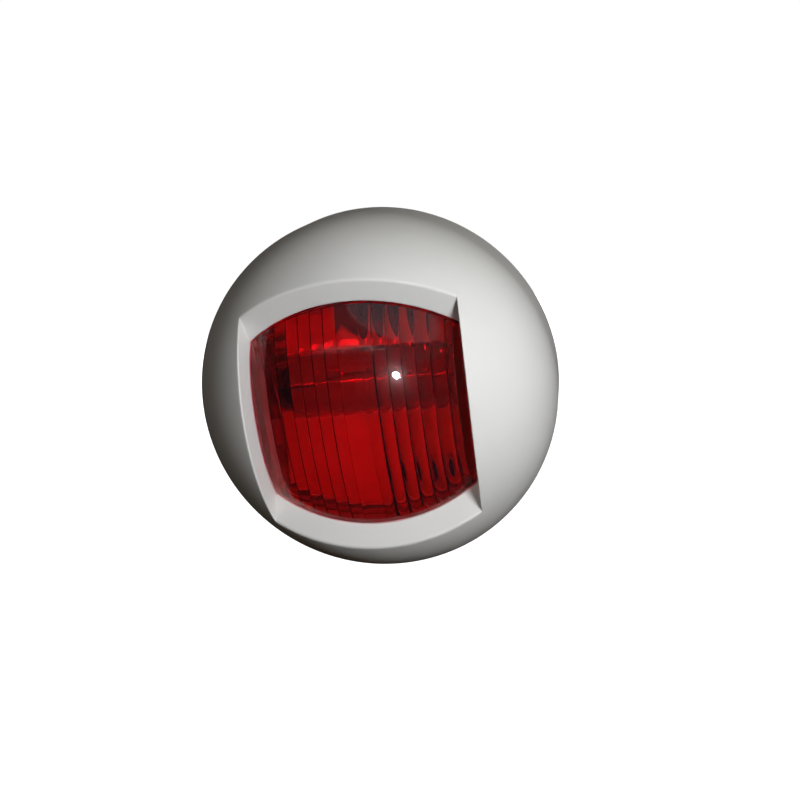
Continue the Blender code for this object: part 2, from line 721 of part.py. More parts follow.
def contact_blade(name, side):
    """The springy upright of a contact: a strip with a hole for the lamp's tip and a flared top."""
    inner = side * BLADE_X
    outer = side * (BLADE_X + CONTACT_T)
    flare = side * BLADE_FLARE
    outline = [
        (inner, FOOT_BACK),
        (inner, BLADE_BEND),
        (inner + flare, BLADE_TOP),
        (outer + flare, BLADE_TOP),
        (outer, BLADE_BEND),
        (outer, FOOT_BACK),
    ]
    strip = strip_across(outline, LAMP_Z - CONTACT_W / 2, LAMP_Z + CONTACT_W / 2)
    bore = [(0, LONG), (BLADE_HOLE_R, LONG), (BLADE_HOLE_R, 0), (0, 0)]
    hole = turned(bore, lamp_matrix(side), steps=20)
    blade = finish(cut(strip, hole), name, BRASS_BRIGHT)
    pivot = Vector((side * (BLADE_X + CONTACT_T / 2), -(FOOT_BACK + CONTACT_T / 2), LAMP_Z))
    blade.data.transform(Matrix.Translation(-pivot) @ blade.matrix_world)
    blade.matrix_world = Matrix.Translation(pivot)
    return blade


def strip_across(outline, bottom, top):
    """An outline of (x, distance forward) points, extruded in height."""
    curve = bpy.data.curves.new("strip", "CURVE")
    curve.dimensions = "2D"
    curve.fill_mode = "BOTH"
    curve.extrude = (top - bottom) / 2
    spline = curve.splines.new("POLY")
    spline.points.add(len(outline) - 1)
    for point, (x, forward) in zip(spline.points, outline):
        point.co = (x, -forward, 0, 1)
    spline.use_cyclic_u = True
    made = bpy.data.objects.new("strip", curve)
    CUTTERS.objects.link(made)
    made.matrix_world = Matrix.Translation((0, 0, (bottom + top) / 2))
    return as_mesh(made)


def terminal_plate(name, side):
    """The square plate that a terminal screw presses on the wire."""
    half = CLAMP_PLATE / 2
    back = FOOT_FRONT + GAP
    low = (side * TERMINAL_X - half, -(back + CLAMP_PLATE_T), TERMINAL_Z - half)
    plate = block(low, (side * TERMINAL_X + half, -back, TERMINAL_Z + half))
    hole = cylinder(TERMINAL_R + GAP, 0, LONG, side * TERMINAL_X, TERMINAL_Z, 16)
    return finish(cut(plate, hole), name, BRASS_BRIGHT)


def terminal_screw(name, side):
    """The slotted screw of a terminal, through the foot into the base."""
    head_back = FOOT_FRONT + CLAMP_PLATE_T + 2 * GAP
    head_front = head_back + TERMINAL_HEAD_H
    end = PLATE_BACK + TERMINAL_FLOOR + GAP
    profile = [
        (0, head_front),
        (TERMINAL_HEAD_R - 0.4 * MM, head_front),
        (TERMINAL_HEAD_R, head_front - 0.4 * MM),
        (TERMINAL_HEAD_R, head_back),
        (TERMINAL_R, head_back),
        (TERMINAL_R, end),
        (0, end),
    ]
    screw = turned(profile, Matrix.Translation((side * TERMINAL_X, 0, TERMINAL_Z)) @ FACING, steps=16)
    low = (side * TERMINAL_X - SLOT_W / 2, -LONG, -LONG)
    slot = block(low, (side * TERMINAL_X + SLOT_W / 2, -head_front + SLOT_DEPTH, LONG))
    return finish(cut(screw, slot), name, BRASS_BRIGHT)


def build():
    """Makes every piece of the light."""
    mounting_gasket()
    base_plate()
    cover_seal()
    cable_grommet()
    for label, side in (("left", -1), ("right", 1)):
        contact_foot(f"contact_foot_{label}", side)
        contact_blade(f"contact_blade_{label}", side)
        terminal_plate(f"terminal_plate_{label}", side)
        terminal_screw(f"terminal_screw_{label}", side)
        lamp_cap(f"lamp_cap_{label}", side)
    lamp_glass()
    lamp_filament()
    housing_cover()
    lens()
    lens_gasket()
    lens_retainer()
    for number, (x, z) in enumerate(corners(BOSS_X, BOSS_Z), 1):
        clamp_screw(f"retainer_screw_{number}", x, z)
    lock_insert()
    lock_washer()
    lock_screw()


clear_scene()
PIECES = new_collection("navigation_light")
CUTTERS = new_collection("cutters")
WHITE_ABS = material("white_abs", WHITE, 0.42)
WHITE_BASE = material("white_base", WHITE, 0.5)
RED_ACRYLIC = material("red_acrylic", RED, 0.08, transmission=0.9)
CLEAR_GLASS = material("clear_glass", CLEAR, 0.03, transmission=0.95)
BLACK_RUBBER = material("black_rubber", RUBBER, 0.75)
BRASS_BRIGHT = material("brass", BRASS, 0.3, metallic=1.0)
NICKEL_CAP = material("nickel", NICKEL, 0.28, metallic=1.0)
STEEL_PLATED = material("plated_steel", STEEL, 0.3, metallic=1.0)
TUNGSTEN_WIRE = material("tungsten", TUNGSTEN, 0.5, metallic=1.0)
build()
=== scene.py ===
"""Looks of a round side-mount navigation light: a white domed cover with an arched window, a red fluted
lens, and a festoon lamp across the base. Metres, +Z up; the light faces -Y from a wall at Y = 0.

A distance called forward is measured along -Y from the wall. A depth is measured along -Y from the dome
plane, where the cover's straight skirt ends and its dome begins.
"""

from math import atan2, cos, hypot, pi, radians, sin, sqrt

import bmesh
import bpy
from mathutils import Matrix, Vector


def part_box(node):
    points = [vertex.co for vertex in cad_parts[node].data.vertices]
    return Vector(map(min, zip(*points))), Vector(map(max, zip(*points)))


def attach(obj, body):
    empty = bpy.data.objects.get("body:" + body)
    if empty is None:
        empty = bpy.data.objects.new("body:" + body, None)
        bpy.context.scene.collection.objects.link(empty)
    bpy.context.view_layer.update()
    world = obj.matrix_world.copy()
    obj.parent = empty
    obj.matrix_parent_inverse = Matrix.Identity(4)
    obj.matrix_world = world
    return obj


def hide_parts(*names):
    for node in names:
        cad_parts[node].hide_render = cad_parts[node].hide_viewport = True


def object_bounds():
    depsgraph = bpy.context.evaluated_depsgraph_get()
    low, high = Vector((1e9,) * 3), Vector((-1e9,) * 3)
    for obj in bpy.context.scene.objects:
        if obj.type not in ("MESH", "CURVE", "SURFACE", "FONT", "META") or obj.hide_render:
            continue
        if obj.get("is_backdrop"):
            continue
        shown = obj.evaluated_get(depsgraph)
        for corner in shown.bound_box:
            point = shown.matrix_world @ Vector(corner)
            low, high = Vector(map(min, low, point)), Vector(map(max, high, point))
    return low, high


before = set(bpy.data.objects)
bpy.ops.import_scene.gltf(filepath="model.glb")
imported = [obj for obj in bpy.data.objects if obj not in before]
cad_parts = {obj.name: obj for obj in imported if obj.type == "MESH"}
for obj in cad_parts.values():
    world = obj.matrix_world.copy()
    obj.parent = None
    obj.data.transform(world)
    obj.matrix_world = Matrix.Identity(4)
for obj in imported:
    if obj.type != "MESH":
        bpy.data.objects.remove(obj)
CAD_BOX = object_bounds()

MM = 0.001
GAP = 0.3 * MM
PAST = 1.0 * MM  # how far a cut runs past the surface it opens, or a join into the one it meets
MELD = 0.2 * MM  # how far the shapes of one screw reach into each other
THROUGH = 12.0 * MM  # forward of all that a cut through the base opens

# Cover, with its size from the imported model
COVER_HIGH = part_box("housing_cover")[1]
DOME_R = COVER_HIGH.x
SKIRT_BACK = -COVER_HIGH.y
DOME_RISE = 21.5 * MM
DOME_PLANE = 9.6 * MM
SHELL_T = 2.2 * MM
SKIRT_FILLET = 0.5 * MM
RIDGE_FILLET = 0.42 * MM
LIP_FILLET = 0.22 * MM

# Window, with depths forward of the dome plane
WINDOW_HALF_W = 16.75 * MM
WINDOW_TOP = 18.15 * MM
WINDOW_CORNER = 12.8 * MM
FACE_START = 4.45 * MM
FACE_SLOPE = 2.07
SIDE_START = 15.46 * MM
SIDE_DRAFT = 0.12
COLLAR_T = 2.4 * MM
COLLAR_BACK = 9.0 * MM
ARCH_DROP = WINDOW_TOP - WINDOW_CORNER
ARCH_R = (WINDOW_HALF_W**2 + ARCH_DROP**2) / (2 * ARCH_DROP)

# Lens
LENS_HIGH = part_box("lens")[1]
LENS_A = 21.8 * MM  # half width of the outer face's ellipsoid
LENS_RISE = 9.0 * MM
LENS_PLANE = 8.25 * MM  # depth at which that ellipsoid starts
LENS_T = 2.0 * MM
LENS_WALL = 0.7 * MM
LENS_FLANGE = LENS_HIGH.x - WINDOW_HALF_W
FLANGE_T = 1.1 * MM
FLANGE_BACK = -LENS_HIGH.y - DOME_PLANE
FLANGE_FRONT = FLANGE_BACK + FLANGE_T
FLUTE_PITCH = 2.05 * MM
FLUTE_DEPTH_LEFT = 0.06 * MM
FLUTE_DEPTH_RIGHT = 0.42 * MM
GROOVE_W = 0.16 * MM
GROOVE_LEFT = 0.14 * MM
FLUTES_PER_SIDE = 7
PLAIN_HALF_W = 1.7 * MM
LENS_ROWS = 64
LENS_SMOOTH = 28  # degrees, so that the grooves stay sharp

FACING = Matrix.Rotation(radians(90), 4, "X")  # turns local +Z to forward
ACROSS = Matrix.Rotation(radians(90), 4, "Y")  # turns local +Z to +X


# Shapes


def put(x, depth, z):
    """A point given by its depth forward of the dome plane."""
    return Vector((x, -(DOME_PLANE + depth), z))


def solve(gap, low, high):
    """Where a rising function crosses zero, by halving."""
    for _ in range(40):
        middle = (low + high) / 2
        if gap(middle) < 0:
            low = middle
        else:
            high = middle
    return (low + high) / 2


def between(start, end, steps):
    """Points from start to end, both left out."""
    return [start.lerp(end, step / steps) for step in range(1, steps)]


def bend(before, corner, after, steps=4):
    """A rounded corner, from before to after."""
    made = []
    for step in range(steps + 1):
        t = step / steps
        made.append(before * (1 - t) ** 2 + corner * (2 * t * (1 - t)) + after * t**2)
    return made


def toward(start, end, distance):
    """The point at a distance from start on the way to end, at most half way."""
    return start.lerp(end, min(distance / max((end - start).length, 1e-9), 0.5))


def rounded(points, radius, steps=3, closed=False):
    """A path with its corners rounded."""
    made = []
    last = len(points) - 1
    for index, point in enumerate(points):
        if not closed and index in (0, last):
            made.append(point.copy())
            continue
        before = toward(point, points[index - 1], radius)
        after = toward(point, points[(index + 1) % len(points)], radius)
        made.extend(bend(before, point, after, steps))
    return made


def piece_from(name, shape, smooth=35):
    """A new object from a bmesh, smooth except along its sharp edges."""
    bmesh.ops.recalc_face_normals(shape, faces=shape.faces[:])
    mesh = bpy.data.meshes.new(name)
    shape.to_mesh(mesh)
    shape.free()
    mesh.shade_smooth()
    mesh.set_sharp_from_angle(angle=radians(smooth))
    made = bpy.data.objects.new(name, mesh)
    bpy.context.scene.collection.objects.link(made)
    return made


def skin(shape, rows, around=True, along=False):
    """Joins rows of vertices with quads; a row of one vertex is a pole."""
    pairs = list(zip(rows, rows[1:]))
    if along:
        pairs.append((rows[-1], rows[0]))
    for first, second in pairs:
        count = max(len(first), len(second))
        for index in range(count if around else count - 1):
            after = (index + 1) % count
            ring = [first[index % len(first)], first[after % len(first)]]
            ring += [second[after % len(second)], second[index % len(second)]]
            corners = list(dict.fromkeys(ring))
            if len(corners) > 2:
                shape.faces.new(corners)


def lathe(name, profile, matrix, steps=72, ring=False, round_off=0.0, smooth=35):
    """A profile of (radius, height) points turned about local Z, with its corners rounded."""
    path = [Vector(point) for point in profile]
    if round_off:
        path = rounded(path, round_off, closed=ring)
    shape = bmesh.new()
    rows = []
    for radius, height in path:
        count = 1 if radius < 1e-7 else steps
        turn = [2 * pi * index / steps for index in range(count)]
        rows.append([shape.verts.new((radius * cos(a), radius * sin(a), height)) for a in turn])
    skin(shape, rows, along=ring)
    bmesh.ops.transform(shape, matrix=matrix, verts=shape.verts)
    return piece_from(name, shape, smooth)


def slab(name, edge, low, high, matrix):
    """An edge of (x, y) points, extruded along local Z."""
    shape = bmesh.new()
    bottom = [shape.verts.new((x, y, low)) for x, y in edge]
    top = [shape.verts.new((x, y, high)) for x, y in edge]
    shape.faces.new(bottom)
    shape.faces.new(top)
    skin(shape, [bottom, top])
    bmesh.ops.transform(shape, matrix=matrix, verts=shape.verts)
    return piece_from(name, shape)


def brick(low, high):
    """A block between two corners, used to cut or to be joined."""
    around = [(low[0], low[1]), (high[0], low[1]), (high[0], high[1]), (low[0], high[1])]
    return slab("brick", around, low[2], high[2], Matrix.Identity(4))


def pin(radius, back, front, x, z, steps=32, tip_radius=None):
    """A cylinder or cone along Y, between two distances forward of the wall."""
    tip = radius if tip_radius is None else tip_radius
    profile = [(0, front), (tip, front), (radius, back), (0, back)]
    return lathe("pin", profile, Matrix.Translation((x, 0, z)) @ FACING, steps)


def carve(target, joins=(), cuts=(), keeps=(), bevel=0.0, smooth=35, weld=0.002 * MM):
    """Joins, cuts and trims shapes, rounds the edges, and leaves one plain mesh."""
    for operation, tools in (("UNION", joins), ("DIFFERENCE", cuts), ("INTERSECT", keeps)):
        for tool in tools:
            step = target.modifiers.new("carve", "BOOLEAN")
            step.operation = operation
            step.solver = "EXACT"
            step.object = tool
    if bevel:
        edge = target.modifiers.new("edge", "BEVEL")
        edge.width = bevel
        edge.segments = 2
        edge.limit_method = "ANGLE"
        edge.angle_limit = radians(40)
    bpy.context.view_layer.update()
    graph = bpy.context.evaluated_depsgraph_get()
    mesh = bpy.data.meshes.new_from_object(target.evaluated_get(graph), depsgraph=graph)
    target.modifiers.clear()
    target.data = mesh
    shape = bmesh.new()
    shape.from_mesh(mesh)
    bmesh.ops.remove_doubles(shape, verts=shape.verts, dist=weld)
    bmesh.ops.dissolve_degenerate(shape, edges=shape.edges, dist=weld)
    shape.to_mesh(mesh)
    shape.free()
    mesh.shade_smooth()
    mesh.set_sharp_from_angle(angle=radians(smooth))
    for tool in (*joins, *cuts, *keeps):
        bpy.data.objects.remove(tool, do_unlink=True)
    return target


def finish(piece, body, slot, look, *nodes):
    """Puts a piece on its body, with its material, in place of the nodes it stands for; its slot is not
    used.
    """
    piece.data.materials.clear()
    piece.data.materials.append(look)
    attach(piece, body)
    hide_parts(*nodes)
    return piece


# Materials


class Nodes:
    """A material's node tree, with short ways to add what the looks share."""

    def __init__(self, name):
        self.made = bpy.data.materials.new(name)
        self.made.use_nodes = True
        self.tree = self.made.node_tree
        self.shader = self.tree.nodes["Principled BSDF"]
        self.place = self.tree.nodes.new("ShaderNodeTexCoord").outputs["Object"]

    def link(self, source, target):
        """Joins two sockets."""
        self.tree.links.new(source, target)

    def put(self, **values):
        """Sets plain values on the shader's own sockets."""
        for name, value in values.items():
            self.shader.inputs[name.replace("_", " ")].default_value = value

    def noise(self, scale, detail=2.0, stretch=(1, 1, 1)):
        """A noise pattern, with its scale in features to the metre."""
        spread = self.tree.nodes.new("ShaderNodeMapping")
        spread.inputs["Scale"].default_value = stretch
        self.link(self.place, spread.inputs["Vector"])
        node = self.tree.nodes.new("ShaderNodeTexNoise")
        node.inputs["Scale"].default_value = scale
        node.inputs["Detail"].default_value = detail
        self.link(spread.outputs["Vector"], node.inputs["Vector"])
        return node.outputs["Fac"]

    def cells(self, scale):
        """A pattern of rounded cells."""
        node = self.tree.nodes.new("ShaderNodeTexVoronoi")
        node.inputs["Scale"].default_value = scale
        self.link(self.place, node.inputs["Vector"])
        return node.outputs["Distance"]

    def ramp(self, source, low, high, start=0.35, end=0.65):
        """Turns a pattern into a blend of two colours or two values."""
        node = self.tree.nodes.new("ShaderNodeValToRGB")
        node.color_ramp.elements[0].position = start
        node.color_ramp.elements[1].position = end
        node.color_ramp.elements[0].color = (*low, 1)
        node.color_ramp.elements[1].color = (*high, 1)
        self.link(source, node.inputs["Fac"])
        return node.outputs["Color"]

    def colour(self, source, low, high, start=0.35, end=0.65):
        """Drives the shader's colour."""
        self.link(self.ramp(source, low, high, start, end), self.shader.inputs["Base Color"])

    def rough(self, source, low, high):
        """Drives the shader's roughness."""
        node = self.tree.nodes.new("ShaderNodeMapRange")
        node.inputs["From Min"].default_value = 0.3
        node.inputs["From Max"].default_value = 0.7
        node.inputs["To Min"].default_value = low
        node.inputs["To Max"].default_value = high
        self.link(source, node.inputs["Value"])
        self.link(node.outputs["Result"], self.shader.inputs["Roughness"])

    def bump(self, source, height, strength=1.0):
        """Adds relief, on top of any added before."""
        node = self.tree.nodes.new("ShaderNodeBump")
        node.inputs["Distance"].default_value = height
        node.inputs["Strength"].default_value = strength
        self.link(source, node.inputs["Height"])
        normal = self.shader.inputs["Normal"]
        if normal.is_linked:
            self.link(normal.links[0].from_socket, node.inputs["Normal"])
        self.link(node.outputs["Normal"], normal)

    def let_light_in(self, tint):
        """Lets rays from lamps through, tinted, so that what is behind the glass is lit."""
        clear = self.tree.nodes.new("ShaderNodeBsdfTransparent")
        clear.inputs["Color"].default_value = (*tint, 1)
        path = self.tree.nodes.new("ShaderNodeLightPath")
        mix = self.tree.nodes.new("ShaderNodeMixShader")
        self.link(path.outputs["Is Shadow Ray"], mix.inputs["Fac"])
        self.link(self.shader.outputs["BSDF"], mix.inputs[1])
        self.link(clear.outputs["BSDF"], mix.inputs[2])
        self.link(mix.outputs["Shader"], self.tree.nodes["Material Output"].inputs["Surface"])


def white_plastic(name, low, high, roughness):
    """Moulded white plastic with a faint orange peel."""
    look = Nodes(name)
    look.colour(look.noise(60, 3), low, high)
    look.rough(look.noise(900, 3), roughness - 0.05, roughness + 0.05)
    look.bump(look.noise(1400, 1), 0.006 * MM)
    look.bump(look.noise(6000, 1), 0.0015 * MM)
    look.put(IOR=1.5)
    return look.made


def red_lens():
    """Clear red acrylic, darker the more of it light passes, with a faint film of dust."""
    look = Nodes("lens_acrylic")
    look.colour(look.noise(120, 2), (0.93, 0.42, 0.64), (0.97, 0.48, 0.70))
    look.rough(look.noise(2500, 4), 0.015, 0.05)
    look.put(IOR=1.49, Transmission_Weight=0.992)
    look.put(Coat_Weight=0.12, Coat_Roughness=0.22)
    look.let_light_in((0.90, 0.74, 0.76))
    depth = look.tree.nodes.new("ShaderNodeVolumeAbsorption")
    depth.inputs["Color"].default_value = (0.94, 0.03, 0.38, 1)
    depth.inputs["Density"].default_value = 2500
    look.link(depth.outputs["Volume"], look.tree.nodes["Material Output"].inputs["Volume"])
    return look.made


def clear_glass():
    """The lamp's glass."""
    look = Nodes("lamp_glass_clear")
    look.colour(look.noise(150, 1), (0.66, 0.65, 0.63), (0.74, 0.73, 0.71))
    look.rough(look.noise(1500, 2), 0.01, 0.03)
    look.put(IOR=1.5, Transmission_Weight=1.0)
    look.let_light_in((0.97, 0.97, 0.96))
    return look.made


def metal(name, low, high, roughness, grain=(1, 1, 1), relief=0.002 * MM):
    """Metal with a worked grain and a little tarnish."""
    look = Nodes(name)
    look.colour(look.noise(260, 4), low, high)
    look.rough(look.noise(1800, 3, grain), roughness - 0.07, roughness + 0.09)
    look.bump(look.noise(3500, 2, grain), relief)
    look.put(Metallic=1.0)
    return look.made


def rubber(name, low, high, cell_size, relief):
    """Rubber, solid or foamed."""
    look = Nodes(name)
    look.colour(look.noise(500, 3), low, high)
    look.rough(look.noise(1200, 2), 0.62, 0.8)
    look.bump(look.cells(1 / cell_size), relief)
    return look.made


COVER_WHITE = white_plastic("cover_white_abs", (0.77, 0.768, 0.75), (0.80, 0.798, 0.782), 0.36)
BASE_WHITE = white_plastic("base_white_abs", (0.76, 0.75, 0.72), (0.80, 0.79, 0.77), 0.5)
LENS_RED = red_lens()
GLASS = clear_glass()
SKIN_CELL = 0.3 * MM
SKIN_RELIEF = 0.004 * MM
GREY_RUBBER = rubber("grommet_rubber", (0.08, 0.08, 0.08), (0.11, 0.11, 0.11), SKIN_CELL, SKIN_RELIEF)
RUBBER = rubber("seal_rubber", (0.018, 0.018, 0.019), (0.04, 0.04, 0.042), SKIN_CELL, SKIN_RELIEF)
FOAM = rubber("foam_rubber", (0.022, 0.022, 0.023), (0.06, 0.06, 0.06), 0.45 * MM, 0.05 * MM)
BRASS = metal("sheet_brass", (0.70, 0.47, 0.18), (0.82, 0.62, 0.30), 0.27, (1, 1, 14))
NICKEL = metal("cap_nickel", (0.58, 0.55, 0.50), (0.70, 0.67, 0.62), 0.16)
STEEL = metal("zinc_steel", (0.52, 0.53, 0.54), (0.68, 0.68, 0.68), 0.27)
TUNGSTEN = metal("filament_tungsten", (0.16, 0.15, 0.15), (0.26, 0.25, 0.24), 0.5)


# Cover


def arch_at(x, grow=0.0):
    """Half the height of the window's arched outline at x."""
    return WINDOW_TOP - ARCH_R + sqrt((ARCH_R + grow) ** 2 - x**2)


def side_at(depth):
    """Half the window's width between its drafted sides."""
    return SIDE_START + SIDE_DRAFT * depth


def face_at(depth):
    """Half the height between the window's sloped top and bottom faces."""
    return FACE_SLOPE * (depth - FACE_START)


def dome_depth(x, z, radius=DOME_R, rise=DOME_RISE):
    """How far forward the dome stands at a place."""
    return rise * sqrt(max(1 - (x * x + z * z) / radius**2, 0.0))


def dome_point(tilt, turn, radius=DOME_R, rise=DOME_RISE):
    """The point of the dome at a tilt from its crown and a turn round it."""
    return put(radius * sin(tilt) * cos(turn), rise * cos(tilt), radius * sin(tilt) * sin(turn))


def perimeter(across, upright):
    """Steps once round the window: which wall, its sign, and how far along it, from -1 to 1."""
    made = [("face", 1, 2 * step / across - 1) for step in range(across)]
    made += [("side", 1, 1 - 2 * step / upright) for step in range(upright)]
    made += [("face", -1, 1 - 2 * step / across) for step in range(across)]
    made += [("side", -1, 2 * step / upright - 1) for step in range(upright)]
    return made


def window_column(wall, sign, along):
    """The corners of the cover's section at one place round its window, from the ridge inward."""
    corner = solve(lambda d: d - dome_depth(side_at(d), face_at(d)), FACE_START, DOME_RISE)
    lip = solve(lambda d: face_at(d) - arch_at(side_at(d)), FACE_START, DOME_RISE)
    back = side_at(COLLAR_BACK)
    collar = WINDOW_HALF_W + COLLAR_T
    if wall == "face":
        depth = solve(lambda d: d - dome_depth(along * side_at(d), face_at(d)), FACE_START, DOME_RISE)
        ridge = put(along * side_at(depth), depth, sign * face_at(depth))
        depth = solve(lambda d: face_at(d) - arch_at(along * side_at(d)), FACE_START, DOME_RISE)
        edge = put(along * side_at(depth), depth, sign * face_at(depth))
        foot = put(along * back, COLLAR_BACK, sign * arch_at(along * back))
        outer_z = sign * arch_at(along * collar, COLLAR_T)
        outside = put(along * collar, COLLAR_BACK, outer_z)
    else:
        high = along * face_at(corner)
        depth = solve(lambda d: d - dome_depth(side_at(d), high), FACE_START, DOME_RISE)
        ridge = put(sign * side_at(depth), depth, high)
        edge = put(sign * side_at(lip), lip, along * face_at(lip))
        foot = put(sign * back, COLLAR_BACK, along * arch_at(back))
        outside = put(sign * collar, COLLAR_BACK, along * arch_at(collar, COLLAR_T))
    return ridge, edge, foot, outside


def cover_row(ridge, edge, foot, outside):
    """The closed section of the cover through one place round its window."""
    turn = atan2(ridge.z, ridge.x)
    tilt = atan2(hypot(ridge.x, ridge.z) / DOME_R, -(ridge.y + DOME_PLANE) / DOME_RISE)
    inner_r = DOME_R - SHELL_T
    inner_rise = DOME_RISE - SHELL_T
    start = tilt + RIDGE_FILLET / DOME_R
    row = bend(dome_point(start, turn), ridge, toward(ridge, edge, RIDGE_FILLET), 6)
    row += between(row[-1], toward(edge, ridge, LIP_FILLET), 8)
    row += bend(toward(edge, ridge, LIP_FILLET), edge, toward(edge, foot, LIP_FILLET), 4)
    row += between(row[-1], foot, 4)
    row += bend(toward(foot, edge, LIP_FILLET), foot, toward(foot, outside, LIP_FILLET), 3)
    front = put(outside.x, dome_depth(outside.x, outside.z, inner_r, inner_rise), outside.z)
    row += bend(toward(outside, foot, LIP_FILLET), outside, toward(outside, front, LIP_FILLET), 3)
    row += between(row[-1], front, 5) + [front]
    inner_turn = atan2(front.z, front.x)
    inner_tilt = atan2(hypot(front.x, front.z) / inner_r, -(front.y + DOME_PLANE) / inner_rise)
    steps = 12
    swing = (turn - inner_turn + pi) % (2 * pi) - pi
    for step in range(1, steps + 1):
        t = step / steps
        tilted = inner_tilt + (pi / 2 - inner_tilt) * t
        row.append(dome_point(tilted, inner_turn + swing * t, inner_r, inner_rise))
    foot_depth = SKIRT_BACK - DOME_PLANE
    inside = put(inner_r * cos(turn), foot_depth, inner_r * sin(turn))
    outer = put(DOME_R * cos(turn), foot_depth, DOME_R * sin(turn))
    rim = put(DOME_R * cos(turn), 0.0, DOME_R * sin(turn))
    row += between(row[-1], toward(inside, row[-1], SKIRT_FILLET), 5)
    row += bend(toward(inside, rim, SKIRT_FILLET), inside, toward(inside, outer, SKIRT_FILLET), 4)
    row += bend(toward(outer, inside, SKIRT_FILLET), outer, toward(outer, rim, SKIRT_FILLET), 4)
    row += between(row[-1], rim, 6)
    steps = 30
    for step in range(steps):
        row.append(dome_point(pi / 2 + (start - pi / 2) * step / steps, turn))
    return row


def corners(x, z):
    """The four places at plus and minus x and z."""
    return [(-x, z), (x, z), (-x, -z), (x, -z)]


BOSS_X = 21.6 * MM
BOSS_Z = 8.6 * MM
BOSS_R = 2.3 * MM
RETAINER_T = 1.0 * MM
RETAINER_FRONT = FLANGE_BACK - GAP
RETAINER_BACK = RETAINER_FRONT - RETAINER_T
CLAMP_R = 1.0 * MM
CLAMP_HEAD_R = 1.8 * MM
CLAMP_HEAD_H = 1.0 * MM
CLAMP_L = 4.0 * MM

LOCK_LOW, LOCK_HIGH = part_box("lock_screw")
LOCK_FORWARD = -(LOCK_LOW.y + LOCK_HIGH.y) / 2
LOCK_HEAD_R = (LOCK_HIGH.x - LOCK_LOW.x) / 2
LOCK_R = 1.5 * MM
LOCK_SEAT = -27.6 * MM  # floor of the recess, as a height
RECESS_CHAMFER = 0.55 * MM
RECESS_OVERCUT = 0.65 * MM
PAD_TOP = -25.0 * MM
PAD_FOOT = -(DOME_R - 0.9 * MM)
PAD_HALF_W = 4.5 * MM
PAD_HALF_D = 2.4 * MM
DRAIN_X = 9.0 * MM
DRAIN_W = 2.4 * MM
DRAIN_DEPTH = 1.2 * MM
DRAIN_TOP = -20.0 * MM


def mid_shell(steps=24):
    """A solid dome that ends half way through the cover's wall."""
    inset = SHELL_T / 2
    arc = [(0, DOME_PLANE + DOME_RISE - inset)]
    for step in range(1, steps + 1):
        tilt = pi / 2 * step / steps
        arc.append(((DOME_R - inset) * sin(tilt), DOME_PLANE + (DOME_RISE - inset) * cos(tilt)))
    return lathe("mid_shell", [*arc, (DOME_R - inset, 0), (0, 0)], FACING, 96)


def housing_cover():
    """The domed cover: one closed skin, then its bosses, locking pad, screw recess and drain."""
    shape = bmesh.new()
    rows = []
    for place in perimeter(64, 44):
        rows.append([shape.verts.new(point) for point in cover_row(*window_column(*place))])
    skin(shape, rows, along=True)
    cover = piece_from("cover_shell", shape)
    joins = []
    cuts = []
    boss_back = DOME_PLANE + RETAINER_FRONT + GAP
    hole_back = DOME_PLANE + RETAINER_FRONT - PAST
    hole_end = DOME_PLANE + RETAINER_BACK + CLAMP_L + GAP
    for x, z in corners(BOSS_X, BOSS_Z):
        boss = pin(BOSS_R, boss_back, DOME_PLANE + DOME_RISE, x, z)
        joins.append(carve(boss, keeps=[mid_shell()]))
        cuts.append(pin(CLAMP_R + GAP, hole_back, hole_end, x, z, 24))
    pad_low = (-PAD_HALF_W, -(LOCK_FORWARD + PAD_HALF_D), PAD_FOOT)
    pad_high = (PAD_HALF_W, -(LOCK_FORWARD - PAD_HALF_D), PAD_TOP)
    joins.append(brick(pad_low, pad_high))
    mouth = LOCK_HEAD_R + GAP
    recess = [
        (0, LOCK_SEAT),
        (mouth, LOCK_SEAT),
        (mouth, -DOME_R + RECESS_CHAMFER),
        (mouth + RECESS_CHAMFER + RECESS_OVERCUT, -DOME_R - RECESS_OVERCUT),
        (0, -DOME_R - RECESS_OVERCUT),
    ]
    bore = [
        (0, PAD_TOP + PAST),
        (LOCK_HEAD_R, PAD_TOP + PAST),
        (LOCK_HEAD_R, LOCK_SEAT - MELD),
        (0, LOCK_SEAT - MELD),
    ]
    lock_axis = Matrix.Translation((0, -LOCK_FORWARD, 0))
    cuts.append(lathe("recess", recess, lock_axis, 48))
    cuts.append(lathe("bore", bore, lock_axis, 40))
    drain_low = (DRAIN_X - DRAIN_W / 2, -SKIRT_BACK - DRAIN_DEPTH, -DOME_R - PAST)
    drain_high = (DRAIN_X + DRAIN_W / 2, PAST, DRAIN_TOP)
    cuts.append(brick(drain_low, drain_high))
    carve(cover, joins, cuts)
    finish(cover, "cover", "cover", COVER_WHITE, "housing_cover")


# Lens


def flute_stops(depth, groove):
    """Across one half of the lens's inner face: each stop's distance from the centre and its relief."""
    plain_steps = 4
    stops = [(PLAIN_HALF_W * step / plain_steps, 0.0) for step in range(plain_steps)]
    stops.append((PLAIN_HALF_W, -groove))
    steps = 10
    half = FLUTE_PITCH / 2
    curve = (half**2 + depth**2) / (2 * depth)
    for flute in range(FLUTES_PER_SIDE):
        middle = PLAIN_HALF_W + (flute + 0.5) * FLUTE_PITCH
        for step in range(steps + 1):
            off = (half - GROOVE_W / 2) * (2 * step / steps - 1)
            stops.append((middle + off, sqrt(curve**2 - off**2) - curve + depth))
        stops.append((middle + half, -groove))
    return stops


